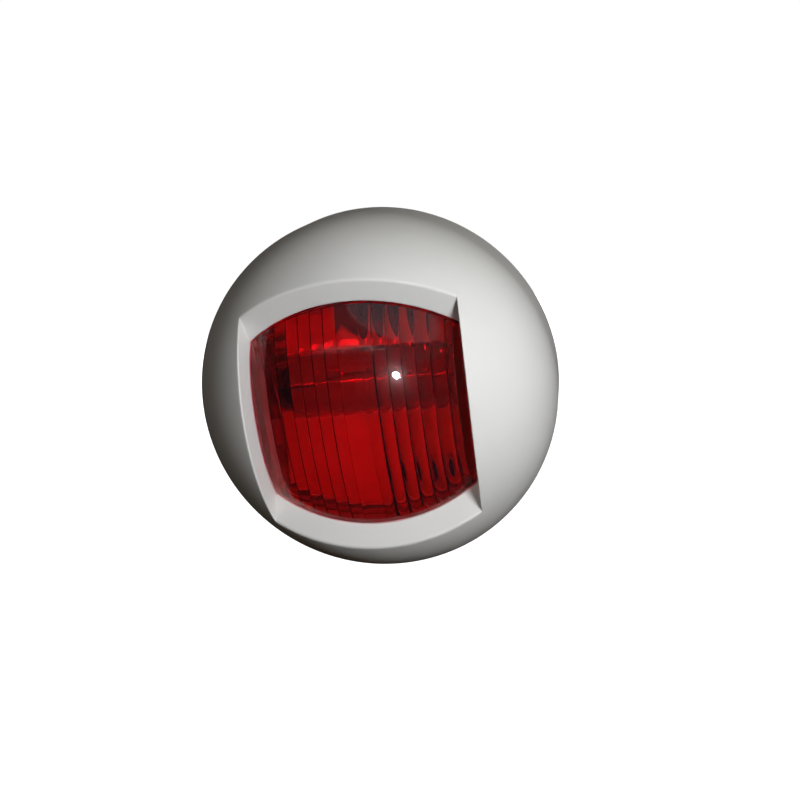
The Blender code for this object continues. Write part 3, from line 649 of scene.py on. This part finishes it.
def lens():
    """The lens: a smooth outer face, a fluted inner face, side walls and a flange, in one closed skin."""
    inner_half = side_at(FLANGE_BACK) - GAP - LENS_WALL
    widest = inner_half - 0.1 * MM
    halves = []
    for flute, groove in ((FLUTE_DEPTH_LEFT, GROOVE_LEFT), (FLUTE_DEPTH_RIGHT, 0.0)):
        kept = [stop for stop in flute_stops(flute, groove) if stop[0] < widest]
        halves.append([*kept, (inner_half, 0.0)])
    left, right = halves
    stops = [(-x, relief) for x, relief in reversed(left[1:])] + right
    heights = [2 * step / LENS_ROWS - 1 for step in range(LENS_ROWS + 1)]
    shape = bmesh.new()
    outer = []
    inner = []
    for stop, relief in stops:
        across = stop / inner_half
        outer.append([])
        inner.append([])
        for height in heights:
            depth = LENS_PLANE + LENS_RISE / 2
            for _ in range(5):
                x = across * (side_at(depth) - GAP)
                z = height * (arch_at(x) - GAP)
                depth = LENS_PLANE + dome_depth(x, z, LENS_A, LENS_RISE)
            outer[-1].append(shape.verts.new(put(x, depth, z)))
            z = height * (arch_at(stop) - GAP - LENS_WALL)
            depth = LENS_PLANE + dome_depth(stop, z, LENS_A - LENS_T, LENS_RISE - LENS_T)
            inner[-1].append(shape.verts.new(put(stop, depth - relief, z)))
    skin(shape, outer, around=False)
    skin(shape, inner, around=False)
    last = len(stops) - 1
    top = len(heights) - 1
    edge = [(i, top) for i in range(last)] + [(last, j) for j in range(top, 0, -1)]
    edge += [(i, 0) for i in range(last, 0, -1)] + [(0, j) for j in range(top)]
    rings = []
    for i, j in edge:
        start = outer[i][j].co.copy()
        end = inner[i][j].co.copy()
        foot = put(start.x, FLANGE_FRONT, start.z)
        across = stops[i][0] / inner_half * (WINDOW_HALF_W + LENS_FLANGE)
        z = heights[j] * arch_at(across, LENS_FLANGE)
        lip = put(across, FLANGE_FRONT, z)
        heel = put(across, FLANGE_BACK, z)
        mouth = put(end.x, FLANGE_BACK, end.z)
        wall = [foot.lerp(start, 0.95), foot.lerp(start, 0.5), foot]
        rings.append([*wall, lip, heel, mouth, mouth.lerp(end, 0.5)])
    rows = [[outer[i][j] for i, j in edge]]
    for level in range(len(rings[0])):
        rows.append([shape.verts.new(path[level]) for path in rings])
    rows.append([inner[i][j] for i, j in edge])
    skin(shape, rows)
    made = piece_from("lens_fluted", shape, LENS_SMOOTH)
    finish(made, "cover", "lens", LENS_RED, "lens")


def outline(grow, steps=36):
    """The window's outline as points of the facing plane, grown by a margin."""
    half = WINDOW_HALF_W + grow
    top = []
    for step in range(steps + 1):
        x = half * (1 - 2 * step / steps)
        top.append((x, arch_at(x, grow)))
    return top + [(-x, -z) for x, z in top]


EAR_R = 2.5 * MM
EAR_HALF_H = 1.8 * MM
EAR_START = 0.8  # of the way out to its screw
FRAME_BEVEL = 0.15 * MM
SEAL_INSET = 0.2 * MM


def lens_retainer():
    """The frame that clamps the lens, with an ear for each screw."""
    back = DOME_PLANE + RETAINER_BACK
    front = DOME_PLANE + RETAINER_FRONT
    made = slab("retainer_frame", outline(LENS_FLANGE), back, front, FACING)
    joins = [pin(EAR_R, back, front, x, z) for x, z in corners(BOSS_X, BOSS_Z)]
    for x, z in corners(BOSS_X, BOSS_Z):
        arm = sorted((x * EAR_START, x))
        joins.append(brick((arm[0], -front, z - EAR_HALF_H), (arm[1], -back, z + EAR_HALF_H)))
    cuts = [slab("hole", outline(-GAP - LENS_WALL), back - PAST, front + PAST, FACING)]
    for x, z in corners(BOSS_X, BOSS_Z):
        cuts.append(pin(CLAMP_R + GAP, back - PAST, front + PAST, x, z, 24))
    carve(made, joins, cuts, bevel=FRAME_BEVEL)
    finish(made, "cover", "cover", BASE_WHITE, "lens_retainer")


def lens_gasket():
    """The rubber ring between the collar and the lens flange."""
    low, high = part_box("lens_gasket")
    made = slab("lens_seal", outline(LENS_FLANGE), -high.y, -low.y, FACING)
    hole = slab("hole", outline(SEAL_INSET), -high.y - PAST, -low.y + PAST, FACING)
    carve(made, cuts=[hole], bevel=FRAME_BEVEL)
    finish(made, "cover", "rubber", RUBBER, "lens_gasket")


# Screws

THREAD_ROWS = 8  # in each turn of a thread
CLAMP_PITCH = 0.6 * MM
CLAMP_THREAD = 0.22 * MM
CLAMP_SLOT = 0.5 * MM
LOCK_PITCH = 0.5 * MM
LOCK_THREAD = 0.2 * MM
LOCK_SLOT = 0.7 * MM
LOCK_HEAD_GAP = 0.9 * MM  # between the recess's floor and the head


def threaded(name, radius, pitch, low, high, matrix, depth, steps=40):
    """A threaded rod along local Z with a chamfered end at each side."""
    shape = bmesh.new()
    count = max(int((high - low) / pitch * THREAD_ROWS), THREAD_ROWS)
    rows = [[shape.verts.new((0, 0, low))]]
    for level in range(count + 1):
        height = low + (high - low) * level / count
        ring = []
        for index in range(steps):
            turn = index / steps
            phase = (height / pitch - turn) % 1.0
            crest = 1 - min(abs(2 * phase - 1) * 1.6, 1.0)
            margin = min(height - low, high - height, pitch / 2) / (pitch / 2)
            reach = radius - depth + depth * crest * margin
            angle = 2 * pi * turn
            ring.append(shape.verts.new((reach * cos(angle), reach * sin(angle), height)))
        rows.append(ring)
    rows.append([shape.verts.new((0, 0, high))])
    skin(shape, rows)
    bmesh.ops.transform(shape, matrix=matrix, verts=shape.verts)
    return piece_from(name, shape, 50)


def merge(target, *others):
    """Puts closed shapes that make one part into one object."""
    shape = bmesh.new()
    for source in (target, *others):
        shape.from_mesh(source.data)
    for source in others:
        bpy.data.objects.remove(source, do_unlink=True)
    shape.to_mesh(target.data)
    shape.free()
    target.data.shade_smooth()
    target.data.set_sharp_from_angle(angle=radians(35))
    return target


def slotted_head(name, radius, low, high, slot_w, matrix, crown=0.0):
    """A round screw head along local Z, with a slot as deep as it is wide across its top."""
    profile = [
        (0, high + crown),
        (radius * 0.6, high + crown * 0.6),
        (radius, high - 0.15 * MM),
        (radius, low),
        (0, low),
    ]
    head = lathe(name, profile, matrix, 48, round_off=0.2 * MM)
    slot_low = (-radius - PAST, -slot_w / 2, high + crown - slot_w)
    slot = brick(slot_low, (radius + PAST, slot_w / 2, high + PAST))
    slot.data.transform(matrix)
    return carve(head, cuts=[slot], bevel=0.05 * MM)


def clamp_screws():
    """The four screws of the lens retainer, heads at the back."""
    low = -(DOME_PLANE + RETAINER_BACK - GAP)
    for number, (x, z) in enumerate(corners(BOSS_X, BOSS_Z), 1):
        twist = Matrix.Rotation(radians(35 * number), 4, "Z")
        axis = Matrix.Translation((x, 0, z)) @ Matrix.Rotation(radians(-90), 4, "X") @ twist
        name = f"clamp_screw_{number}"
        head = slotted_head(name, CLAMP_HEAD_R, low, low + CLAMP_HEAD_H, CLAMP_SLOT, axis)
        rod = threaded("rod", CLAMP_R, CLAMP_PITCH, low - CLAMP_L, low + MELD, axis, CLAMP_THREAD)
        merge(head, rod)
        finish(head, "cover", "steel", STEEL, f"retainer_screw_{number}")


def lock_parts():
    """The locking screw, its sealing washer and its brass sleeve."""
    axis = Matrix.Translation((0, -LOCK_FORWARD, 0))
    head_top = LOCK_SEAT - LOCK_HEAD_GAP
    down = axis @ Matrix.Rotation(pi, 4, "X")
    head = slotted_head("locking_screw", LOCK_HEAD_R, -head_top, -LOCK_LOW.z, LOCK_SLOT, down)
    rod = threaded("rod", LOCK_R, LOCK_PITCH, head_top - MELD, LOCK_HIGH.z, axis, LOCK_THREAD)
    merge(head, rod)
    finish(head, "lock_screw", "steel", STEEL, "lock_screw")
    low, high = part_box("lock_washer")
    bore = LOCK_R + GAP
    ring = [(bore, high.z), (LOCK_HEAD_R, high.z), (LOCK_HEAD_R, low.z), (bore, low.z)]
    washer = lathe("locking_washer", ring, axis, 56, ring=True, round_off=0.12 * MM)
    finish(washer, "lock_travel", "rubber", RUBBER, "lock_washer")
    low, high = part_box("lock_insert")
    ring = [(bore, high.z), (high.x, high.z), (high.x, low.z), (bore, low.z)]
    sleeve = lathe("locking_sleeve", ring, axis, 56, ring=True, round_off=0.15 * MM)
    finish(sleeve, "cover", "brass", BRASS, "lock_insert")


# Base

PLATE_LOW, PLATE_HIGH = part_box("base_plate")
GASKET_LOW, GASKET_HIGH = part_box("mounting_gasket")
PLATE_T = 2.4 * MM
PLATE_BACK = -PLATE_HIGH.y
PLATE_FRONT = PLATE_BACK + PLATE_T
PLATE_R = PLATE_HIGH.x
RIM_FRONT = -PLATE_LOW.y
RIM_R = 26.4 * MM
RIM_T = 1.6 * MM
GROOVE_BACK = 2.3 * MM
GROOVE_FRONT = 3.7 * MM
GROOVE_R = 26.2 * MM
FIX = ((-10.5 * MM, 17.0 * MM), (10.5 * MM, -17.0 * MM))
FIX_R = 2.1 * MM
FIX_SINK_R = 3.9 * MM
INLET_Z = 14.5 * MM
INLET_R = 5.2 * MM
GROMMET_BORE = 3.5 * MM
LUG_HALF_W = 7.5 * MM
LUG_HALF_D = 3.0 * MM
LUG_T = 2.2 * MM
LAMP_LOW, LAMP_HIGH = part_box("lamp_glass")
LAMP_FORWARD = -(LAMP_LOW.y + LAMP_HIGH.y) / 2
LAMP_Z = (LAMP_LOW.z + LAMP_HIGH.z) / 2
LAMP_PLACE = Matrix.Translation((0, -LAMP_FORWARD, LAMP_Z))
LAMP_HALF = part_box("lamp_cap_right")[1].x
FOOT_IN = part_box("contact_foot_right")[0].x
FOOT_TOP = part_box("contact_foot_right")[1].z
PEDESTAL_FRONT = 4.7 * MM
PEDESTAL_MARGIN = 0.6 * MM
TERMINAL_FLOOR = 0.9 * MM  # left of the plate behind a terminal screw
BLADE_X = LAMP_HALF - 0.1 * MM
BLADE_LEAN = 1.0 * MM
BLADE_BEND = 1.4 * MM
BLADE_HOLE_R = 1.9 * MM
CONTACT_W = 7.0 * MM
CONTACT_T = 0.5 * MM
TERMINAL_LOW, TERMINAL_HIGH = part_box("terminal_screw_right")
TERMINAL_X = (TERMINAL_LOW.x + TERMINAL_HIGH.x) / 2
TERMINAL_Z = (TERMINAL_LOW.z + TERMINAL_HIGH.z) / 2
TERMINAL_R = 1.1 * MM
TERMINAL_HEAD_H = 1.1 * MM
TERMINAL_CROWN = 0.1 * MM
TERMINAL_SLOT = 0.5 * MM
TERMINAL_PITCH = 0.5 * MM
TERMINAL_THREAD = 0.2 * MM


def base_plate():
    """The base: plate, seal groove, rim, contact pedestals, wall screw holes and the lug."""
    profile = [
        (0, PLATE_FRONT),
        (RIM_R - RIM_T, PLATE_FRONT),
        (RIM_R - RIM_T, RIM_FRONT),
        (RIM_R, RIM_FRONT),
        (RIM_R, PLATE_FRONT),
        (PLATE_R, PLATE_FRONT),
        (PLATE_R, GROOVE_FRONT),
        (GROOVE_R, GROOVE_FRONT),
        (GROOVE_R, GROOVE_BACK),
        (PLATE_R, GROOVE_BACK),
        (PLATE_R, PLATE_BACK),
        (0, PLATE_BACK),
    ]
    plate = lathe("base_moulding", profile, FACING, 128, round_off=0.16 * MM)
    lug_low = LOCK_HIGH.z + GAP
    notch_low = (-PAD_HALF_W - GAP, -RIM_FRONT - PAST, -DOME_R - PAST)
    notch = brick(notch_low, (PAD_HALF_W + GAP, -PLATE_FRONT - 0.05 * MM, lug_low))
    carve(plate, cuts=[notch])
    lug_front = (-LUG_HALF_W, -(LOCK_FORWARD + LUG_HALF_D), lug_low)
    lug = brick(lug_front, (LUG_HALF_W, -(PLATE_FRONT - PAST), lug_low + LUG_T))
    joins = [carve(lug, bevel=0.3 * MM)]
    cuts = []
    foot_low = LAMP_Z - CONTACT_W / 2
    for side in (-1, 1):
        edges = sorted((side * (FOOT_IN - PEDESTAL_MARGIN), side * (BLADE_X + 2 * PEDESTAL_MARGIN)))
        low = (edges[0], -PEDESTAL_FRONT, foot_low - 0.7 * MM)
        high = (edges[1], -(PLATE_FRONT - PAST), FOOT_TOP + PEDESTAL_MARGIN)
        joins.append(carve(brick(low, high), bevel=0.2 * MM))
        floor = PLATE_BACK + TERMINAL_FLOOR
        cuts.append(pin(TERMINAL_R + GAP, floor, THROUGH, side * TERMINAL_X, TERMINAL_Z))
    cuts.append(pin(INLET_R, 0, THROUGH, 0, INLET_Z, 48))
    slope = 0.5 * MM
    sink_back = PLATE_FRONT - (FIX_SINK_R - FIX_R)
    for x, z in FIX:
        cuts.append(pin(FIX_R, 0, THROUGH, x, z, 40))
        cuts.append(pin(FIX_R, sink_back, PLATE_FRONT + slope, x, z, 48, FIX_SINK_R + slope))
    carve(plate, joins, cuts)
    finish(plate, "base", "base", BASE_WHITE, "base_plate")


def base_rubber():
    """The foam gasket against the wall, the cover's seal and the cable grommet."""
    front = -GASKET_LOW.y
    back = -GASKET_HIGH.y
    profile = [(0, front), (GASKET_HIGH.x, front), (GASKET_HIGH.x, back), (0, back)]
    sheet = lathe("wall_gasket", profile, FACING, 128, round_off=0.3 * MM)
    low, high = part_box("cable_grommet")
    cuts = [pin(high.x + GAP, back - PAST, front + PAST, 0, INLET_Z, 48)]
    cuts += [pin(FIX_R + GAP, back - PAST, front + PAST, x, z, 40) for x, z in FIX]
    carve(sheet, cuts=cuts)
    finish(sheet, "base", "rubber", FOAM, "mounting_gasket")
    neck = INLET_R - GAP
    profile = [
        (GROMMET_BORE, -low.y),
        (high.x, -low.y),
        (high.x, PLATE_FRONT + GAP),
        (neck, PLATE_FRONT + GAP),
        (neck, PLATE_BACK - GAP),
        (high.x, PLATE_BACK - GAP),
        (high.x, -high.y),
        (GROMMET_BORE, -high.y),
    ]
    inlet = Matrix.Translation((0, 0, INLET_Z)) @ FACING
    ring = lathe("inlet_grommet", profile, inlet, 72, True, 0.4 * MM)
    finish(ring, "base", "rubber", GREY_RUBBER, "cable_grommet")
    low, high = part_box("cover_seal")
    profile = [
        (GROOVE_R + GAP, -low.y),
        (high.x, -low.y),
        (high.x, -high.y),
        (GROOVE_R + GAP, -high.y),
    ]
    seal = lathe("skirt_seal", profile, FACING, 144, True, 0.3 * MM)
    finish(seal, "base", "rubber", RUBBER, "cover_seal")


def contacts():
    """The two spring contacts with their feet, and each foot's clamp plate and screw."""
    for label, side in (("left", -1), ("right", 1)):
        strip_with_hole(f"contact_foot_{label}", f"foot_strip_{label}", side, 0.1 * MM)
        blade(label, side)
        strip_with_hole(f"terminal_plate_{label}", f"clamp_plate_{label}", side, 0.12 * MM)
        low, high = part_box(f"terminal_screw_{label}")
        axis = Matrix.Translation((side * TERMINAL_X, 0, TERMINAL_Z)) @ FACING
        axis = axis @ Matrix.Rotation(radians(90 + 20 * side), 4, "Z")
        radius = (high.x - low.x) / 2
        top = -low.y - TERMINAL_CROWN
        bottom = top - TERMINAL_HEAD_H
        name = f"wire_screw_{label}"
        head = slotted_head(name, radius, bottom, top, TERMINAL_SLOT, axis, TERMINAL_CROWN)
        rod = threaded("rod", TERMINAL_R, TERMINAL_PITCH, -high.y, bottom + MELD, axis, TERMINAL_THREAD)
        merge(head, rod)
        finish(head, "base", "brass", BRASS, f"terminal_screw_{label}")


def strip_with_hole(node, name, side, bevel):
    """A flat brass strip in place of a node, with the terminal screw's hole."""
    strip = brick(*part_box(node))
    hole = pin(TERMINAL_R + GAP, 0, THROUGH, side * TERMINAL_X, TERMINAL_Z)
    carve(strip, cuts=[hole], bevel=bevel)
    strip.name = name
    finish(strip, "base", "brass", BRASS, node)


def blade(label, side):
    """The springy upright of one contact: a bent strip with a hole for the lamp's tip."""
    low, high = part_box(f"contact_blade_{label}")
    top = -low.y
    inner = [
        Vector((BLADE_X, -high.y)),
        Vector((BLADE_X, top - BLADE_BEND)),
        Vector((BLADE_X + BLADE_LEAN, top)),
    ]
    inner = rounded(inner, 1.2 * MM, 6)
    outer = [point + Vector((CONTACT_T, 0)) for point in reversed(inner)]
    path = [(side * point.x, -point.y) for point in inner + outer]
    strip = slab(f"spring_blade_{label}", path, low.z, high.z, Matrix.Identity(4))
    hole_path = [(0, DOME_R), (BLADE_HOLE_R, DOME_R), (BLADE_HOLE_R, -DOME_R), (0, -DOME_R)]
    hole = lathe("hole", hole_path, LAMP_PLACE @ ACROSS, 40)
    carve(strip, cuts=[hole], bevel=0.08 * MM)
    finish(strip, f"contact_{label}", "brass", BRASS, f"contact_blade_{label}")


# Lamp

GLASS_R = (LAMP_HIGH.z - LAMP_LOW.z) / 2
GLASS_HALF = LAMP_HIGH.x
GLASS_T = 0.6 * MM
CAP_R = 4.25 * MM
NECK_R = 3.3 * MM
CAP_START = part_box("lamp_cap_right")[0].x
CAP_T = 0.45 * MM
CAP_END_T = 2.0 * MM
TIP_R = 1.2 * MM
COIL_HALF = 9.6 * MM
COIL_RISE = 1.3 * MM
COIL_R = 0.28 * MM
COIL_TURNS = 46
COIL_WIRE = 0.07 * MM
LEAD_WIRE = 0.16 * MM


def mirrored(points):
    """The same points on the other side of the lamp's middle."""
    return [Vector((point.x, -point.y)) for point in points]


def lamp():
    """The festoon lamp: glass tube, two metal caps, and a coiled filament on its leads."""
    outer = [
        Vector((NECK_R, GLASS_HALF)),
        Vector((NECK_R, CAP_START + 0.3 * MM)),
        Vector((GLASS_R - 0.5 * MM, CAP_START - 0.6 * MM)),
        Vector((GLASS_R, CAP_START - 1.9 * MM)),
        Vector((GLASS_R, 0)),
    ]
    outer = rounded(outer, 1.0 * MM, 6)
    inner = [Vector((max(point.x, NECK_R) - GLASS_T, point.y)) for point in outer]
    outside = outer + mirrored(reversed(outer[:-1]))
    inside = mirrored(inner) + inner[-2::-1]
    tube = lathe("lamp_tube", outside + inside, LAMP_PLACE @ ACROSS, 96, True)
    finish(tube, "lamp", "glass", GLASS, "lamp_glass")
    for label, side in (("left", -1), ("right", 1)):
        lamp_cap(label, side)
    filament()


def lamp_cap(label, side):
    """One metal cap: a thin cup with a grooved mouth, a cone and a soldered tip."""
    wall = CAP_R - CAP_T
    profile = [
        (0, LAMP_HALF),
        (TIP_R * 0.7, LAMP_HALF - 0.05 * MM),
        (TIP_R, LAMP_HALF - 0.35 * MM),
        (CAP_R - 1.1 * MM, LAMP_HALF - 1.0 * MM),
        (CAP_R, LAMP_HALF - 1.7 * MM),
        (CAP_R, CAP_START + 0.9 * MM),
        (CAP_R - 0.12 * MM, CAP_START + 0.7 * MM),
        (CAP_R, CAP_START + 0.45 * MM),
        (CAP_R, CAP_START),
        (wall, CAP_START),
        (wall, LAMP_HALF - CAP_END_T),
        (0, LAMP_HALF - CAP_END_T),
    ]
    turn = Matrix.Identity(4) if side > 0 else Matrix.Rotation(pi, 4, "Z")
    cap = lathe(f"lamp_end_{label}", profile, LAMP_PLACE @ turn @ ACROSS, 96, round_off=0.12 * MM)
    finish(cap, "lamp", "nickel", NICKEL, f"lamp_cap_{label}")


def tube_along(points, radius):
    """A curve object along points, with a round section."""
    curve = bpy.data.curves.new("wire", "CURVE")
    curve.dimensions = "3D"
    curve.bevel_depth = radius
    curve.bevel_resolution = 2
    curve.use_fill_caps = True
    spline = curve.splines.new("POLY")
    spline.points.add(len(points) - 1)
    for point, place in zip(spline.points, points):
        point.co = (*place, 1)
    made = bpy.data.objects.new("wire", curve)
    bpy.context.scene.collection.objects.link(made)
    bpy.context.view_layer.update()
    graph = bpy.context.evaluated_depsgraph_get()
    mesh = bpy.data.meshes.new_from_object(made.evaluated_get(graph), depsgraph=graph)
    bpy.data.objects.remove(made, do_unlink=True)
    plain = bpy.data.objects.new("wire", mesh)
    bpy.context.scene.collection.objects.link(plain)
    return plain


def filament():
    """The coiled filament, arched between two lead wires."""
    steps = COIL_TURNS * 10
    coil = []
    for step in range(steps + 1):
        t = 2 * step / steps - 1
        angle = 2 * pi * COIL_TURNS * step / steps
        y = -LAMP_FORWARD + COIL_R * sin(angle)
        z = LAMP_Z + COIL_RISE * (1 - t * t) + COIL_R * cos(angle)
        coil.append(Vector((t * COIL_HALF, y, z)))
    made = tube_along(coil, COIL_WIRE)
    made.name = "lamp_coil"
    leads = []
    for side, last in ((-1, coil[0]), (1, coil[-1])):
        end = Vector((side * (LAMP_HALF - 3.2 * MM), -LAMP_FORWARD, LAMP_Z))
        kink = Vector((side * (COIL_HALF + 1.6 * MM), -LAMP_FORWARD, LAMP_Z - 0.4 * MM))
        leads.append(tube_along(rounded([end, kink, last], 1.2 * MM, 5), LEAD_WIRE))
    merge(made, *leads)
    finish(made, "lamp", "tungsten", TUNGSTEN, "lamp_filament")


housing_cover()
lens()
lens_gasket()
lens_retainer()
clamp_screws()
lock_parts()
base_plate()
base_rubber()
contacts()
lamp()


# Studio

AIM = Vector((0, -DOME_PLANE, 0))
FLOOR_DROP = 0.16
FLOOR_R = 6.0
KEY_DISTANCE = 0.109
CAMERA_DISTANCE = 160.16 * MM
CAMERA_AZIMUTH = 13.48
CAMERA_ELEVATION = 15.28
CAMERA_ROLL = -8.1


def direction(azimuth, elevation):
    """The way from the object towards a place at an azimuth and an elevation, in degrees."""
    around = radians(azimuth)
    up = radians(elevation)
    return Vector((sin(around) * cos(up), -cos(around) * cos(up), sin(up)))


def area_light(name, azimuth, elevation, distance, width, height, power, colour, seen_by):
    """A soft light aimed at the object, seen only by some rays: matte, gloss, or inside clear pieces."""
    data = bpy.data.lights.new(name, "AREA")
    data.shape = "ELLIPSE"
    data.size = width
    data.size_y = height
    data.energy = power
    data.color = colour
    made = bpy.data.objects.new(name, data)
    bpy.context.scene.collection.objects.link(made)
    way = direction(azimuth, elevation)
    made.location = AIM + way * distance
    made.visible_diffuse = "matte" in seen_by
    made.visible_glossy = "gloss" in seen_by
    made.visible_transmission = "inside" in seen_by
    made.rotation_mode = "QUATERNION"
    made.rotation_quaternion = way.to_track_quat("Z", "Y")
    return data


def fade_slowly(light, distance):
    """Makes a near light fade with distance, not its square, so that a pulled cover burns out less."""
    light.use_nodes = True
    tree = light.node_tree
    fade = tree.nodes.new("ShaderNodeLightFalloff")
    fade.inputs["Strength"].default_value = 1 / distance
    tree.links.new(fade.outputs["Linear"], tree.nodes["Emission"].inputs["Strength"])


def camera():
    """The camera, turned a little about its own line of sight."""
    roll = radians(CAMERA_ROLL)
    data = bpy.data.cameras.new("camera")
    data.sensor_width = 36
    data.lens = 42.82
    data.shift_x = 0.0287
    data.shift_y = -0.0100
    data.clip_start = 0.01
    data.clip_end = 20
    made = bpy.data.objects.new("camera", data)
    bpy.context.scene.collection.objects.link(made)
    back = direction(CAMERA_AZIMUTH, CAMERA_ELEVATION)
    level = direction(CAMERA_AZIMUTH + 90, 0)
    upward = back.cross(level)
    right = level * cos(roll) + upward * sin(roll)
    top = upward * cos(roll) - level * sin(roll)
    place = AIM + back * CAMERA_DISTANCE
    made.matrix_world = Matrix.Translation(place) @ Matrix((right, top, back)).transposed().to_4x4()
    bpy.context.scene.camera = made


def backdrop():
    """A pale floor well below the light, and a pale surround that lights it only softly."""
    shape = bmesh.new()
    bmesh.ops.create_circle(shape, cap_ends=True, segments=96, radius=FLOOR_R)
    floor = piece_from("floor", shape)
    floor.location = (0, 0, -FLOOR_DROP)
    look = Nodes("floor_paper")
    look.colour(look.noise(3, 2), (0.90, 0.90, 0.89), (0.93, 0.93, 0.92))
    look.rough(look.noise(40, 2), 0.85, 0.95)
    look.put(Emission_Color=(1, 1, 1, 1), Emission_Strength=1.0)
    floor.data.materials.append(look.made)
    floor.visible_diffuse = False
    floor.visible_glossy = False
    floor.visible_transmission = False
    floor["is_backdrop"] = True
    world = bpy.data.worlds.new("studio")
    bpy.context.scene.world = world
    world.use_nodes = True
    tree = world.node_tree
    soft = tree.nodes["Background"]
    soft.inputs["Color"].default_value = (1.0, 0.62, 0.36, 1)
    soft.inputs["Strength"].default_value = 0.014
    pale = tree.nodes.new("ShaderNodeBackground")
    pale.inputs["Color"].default_value = (1, 1, 1, 1)
    pale.inputs["Strength"].default_value = 1.02
    path = tree.nodes.new("ShaderNodeLightPath")
    mix = tree.nodes.new("ShaderNodeMixShader")
    tree.links.new(path.outputs["Is Camera Ray"], mix.inputs["Fac"])
    tree.links.new(soft.outputs["Background"], mix.inputs[1])
    tree.links.new(pale.outputs["Background"], mix.inputs[2])
    tree.links.new(mix.outputs["Shader"], tree.nodes["World Output"].inputs["Surface"])


backdrop()
camera()
# Each with its azimuth, elevation, distance, width, height, power, colour and the rays it is seen by
area_light("flash", 6, 3, 0.42, 0.022, 0.022, 0.40, (1.0, 0.98, 0.96), ("gloss", "inside"))
key = area_light("key", 36, 13.5, KEY_DISTANCE, 0.03, 0.03, 0.0915, (0.97, 0.99, 1.0), ("matte",))
fade_slowly(key, KEY_DISTANCE)
area_light("above", -15, 40, 0.9, 0.3, 0.3, 0.75, (1.0, 0.97, 0.93), ("matte",))
area_light("rim", 112, 30, 0.9, 0.6, 0.6, 1.0, (1.0, 0.95, 0.89), ("matte",))
area_light("strip", -13, 17, 0.5, 0.34, 0.03, 0.8, (1.0, 0.98, 0.98), ("inside",))
area_light("ceiling", 20, 46, 1.1, 1.1, 1.1, 1.3, (0.92, 0.92, 1.0), ("gloss", "inside"))
area_light("room", 14, 40, 1.2, 1.5, 1.5, 0.7, (0.92, 0.92, 1.0), ("gloss", "inside"))
area_light("table", 60, -50, 0.9, 0.6, 0.6, 0.2, (1.0, 0.60, 0.34), ("matte",))
area_light("rear", 190, 8, 0.9, 0.6, 0.6, 3.2, (1.0, 1.0, 1.0), ("matte",))
bpy.context.scene.view_settings.view_transform = "Standard"


def plain(box):
    """A box's corners as lists of numbers."""
    return [list(corner) for corner in box]


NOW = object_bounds()
{"cad": plain(CAD_BOX), "visual": plain(NOW)}
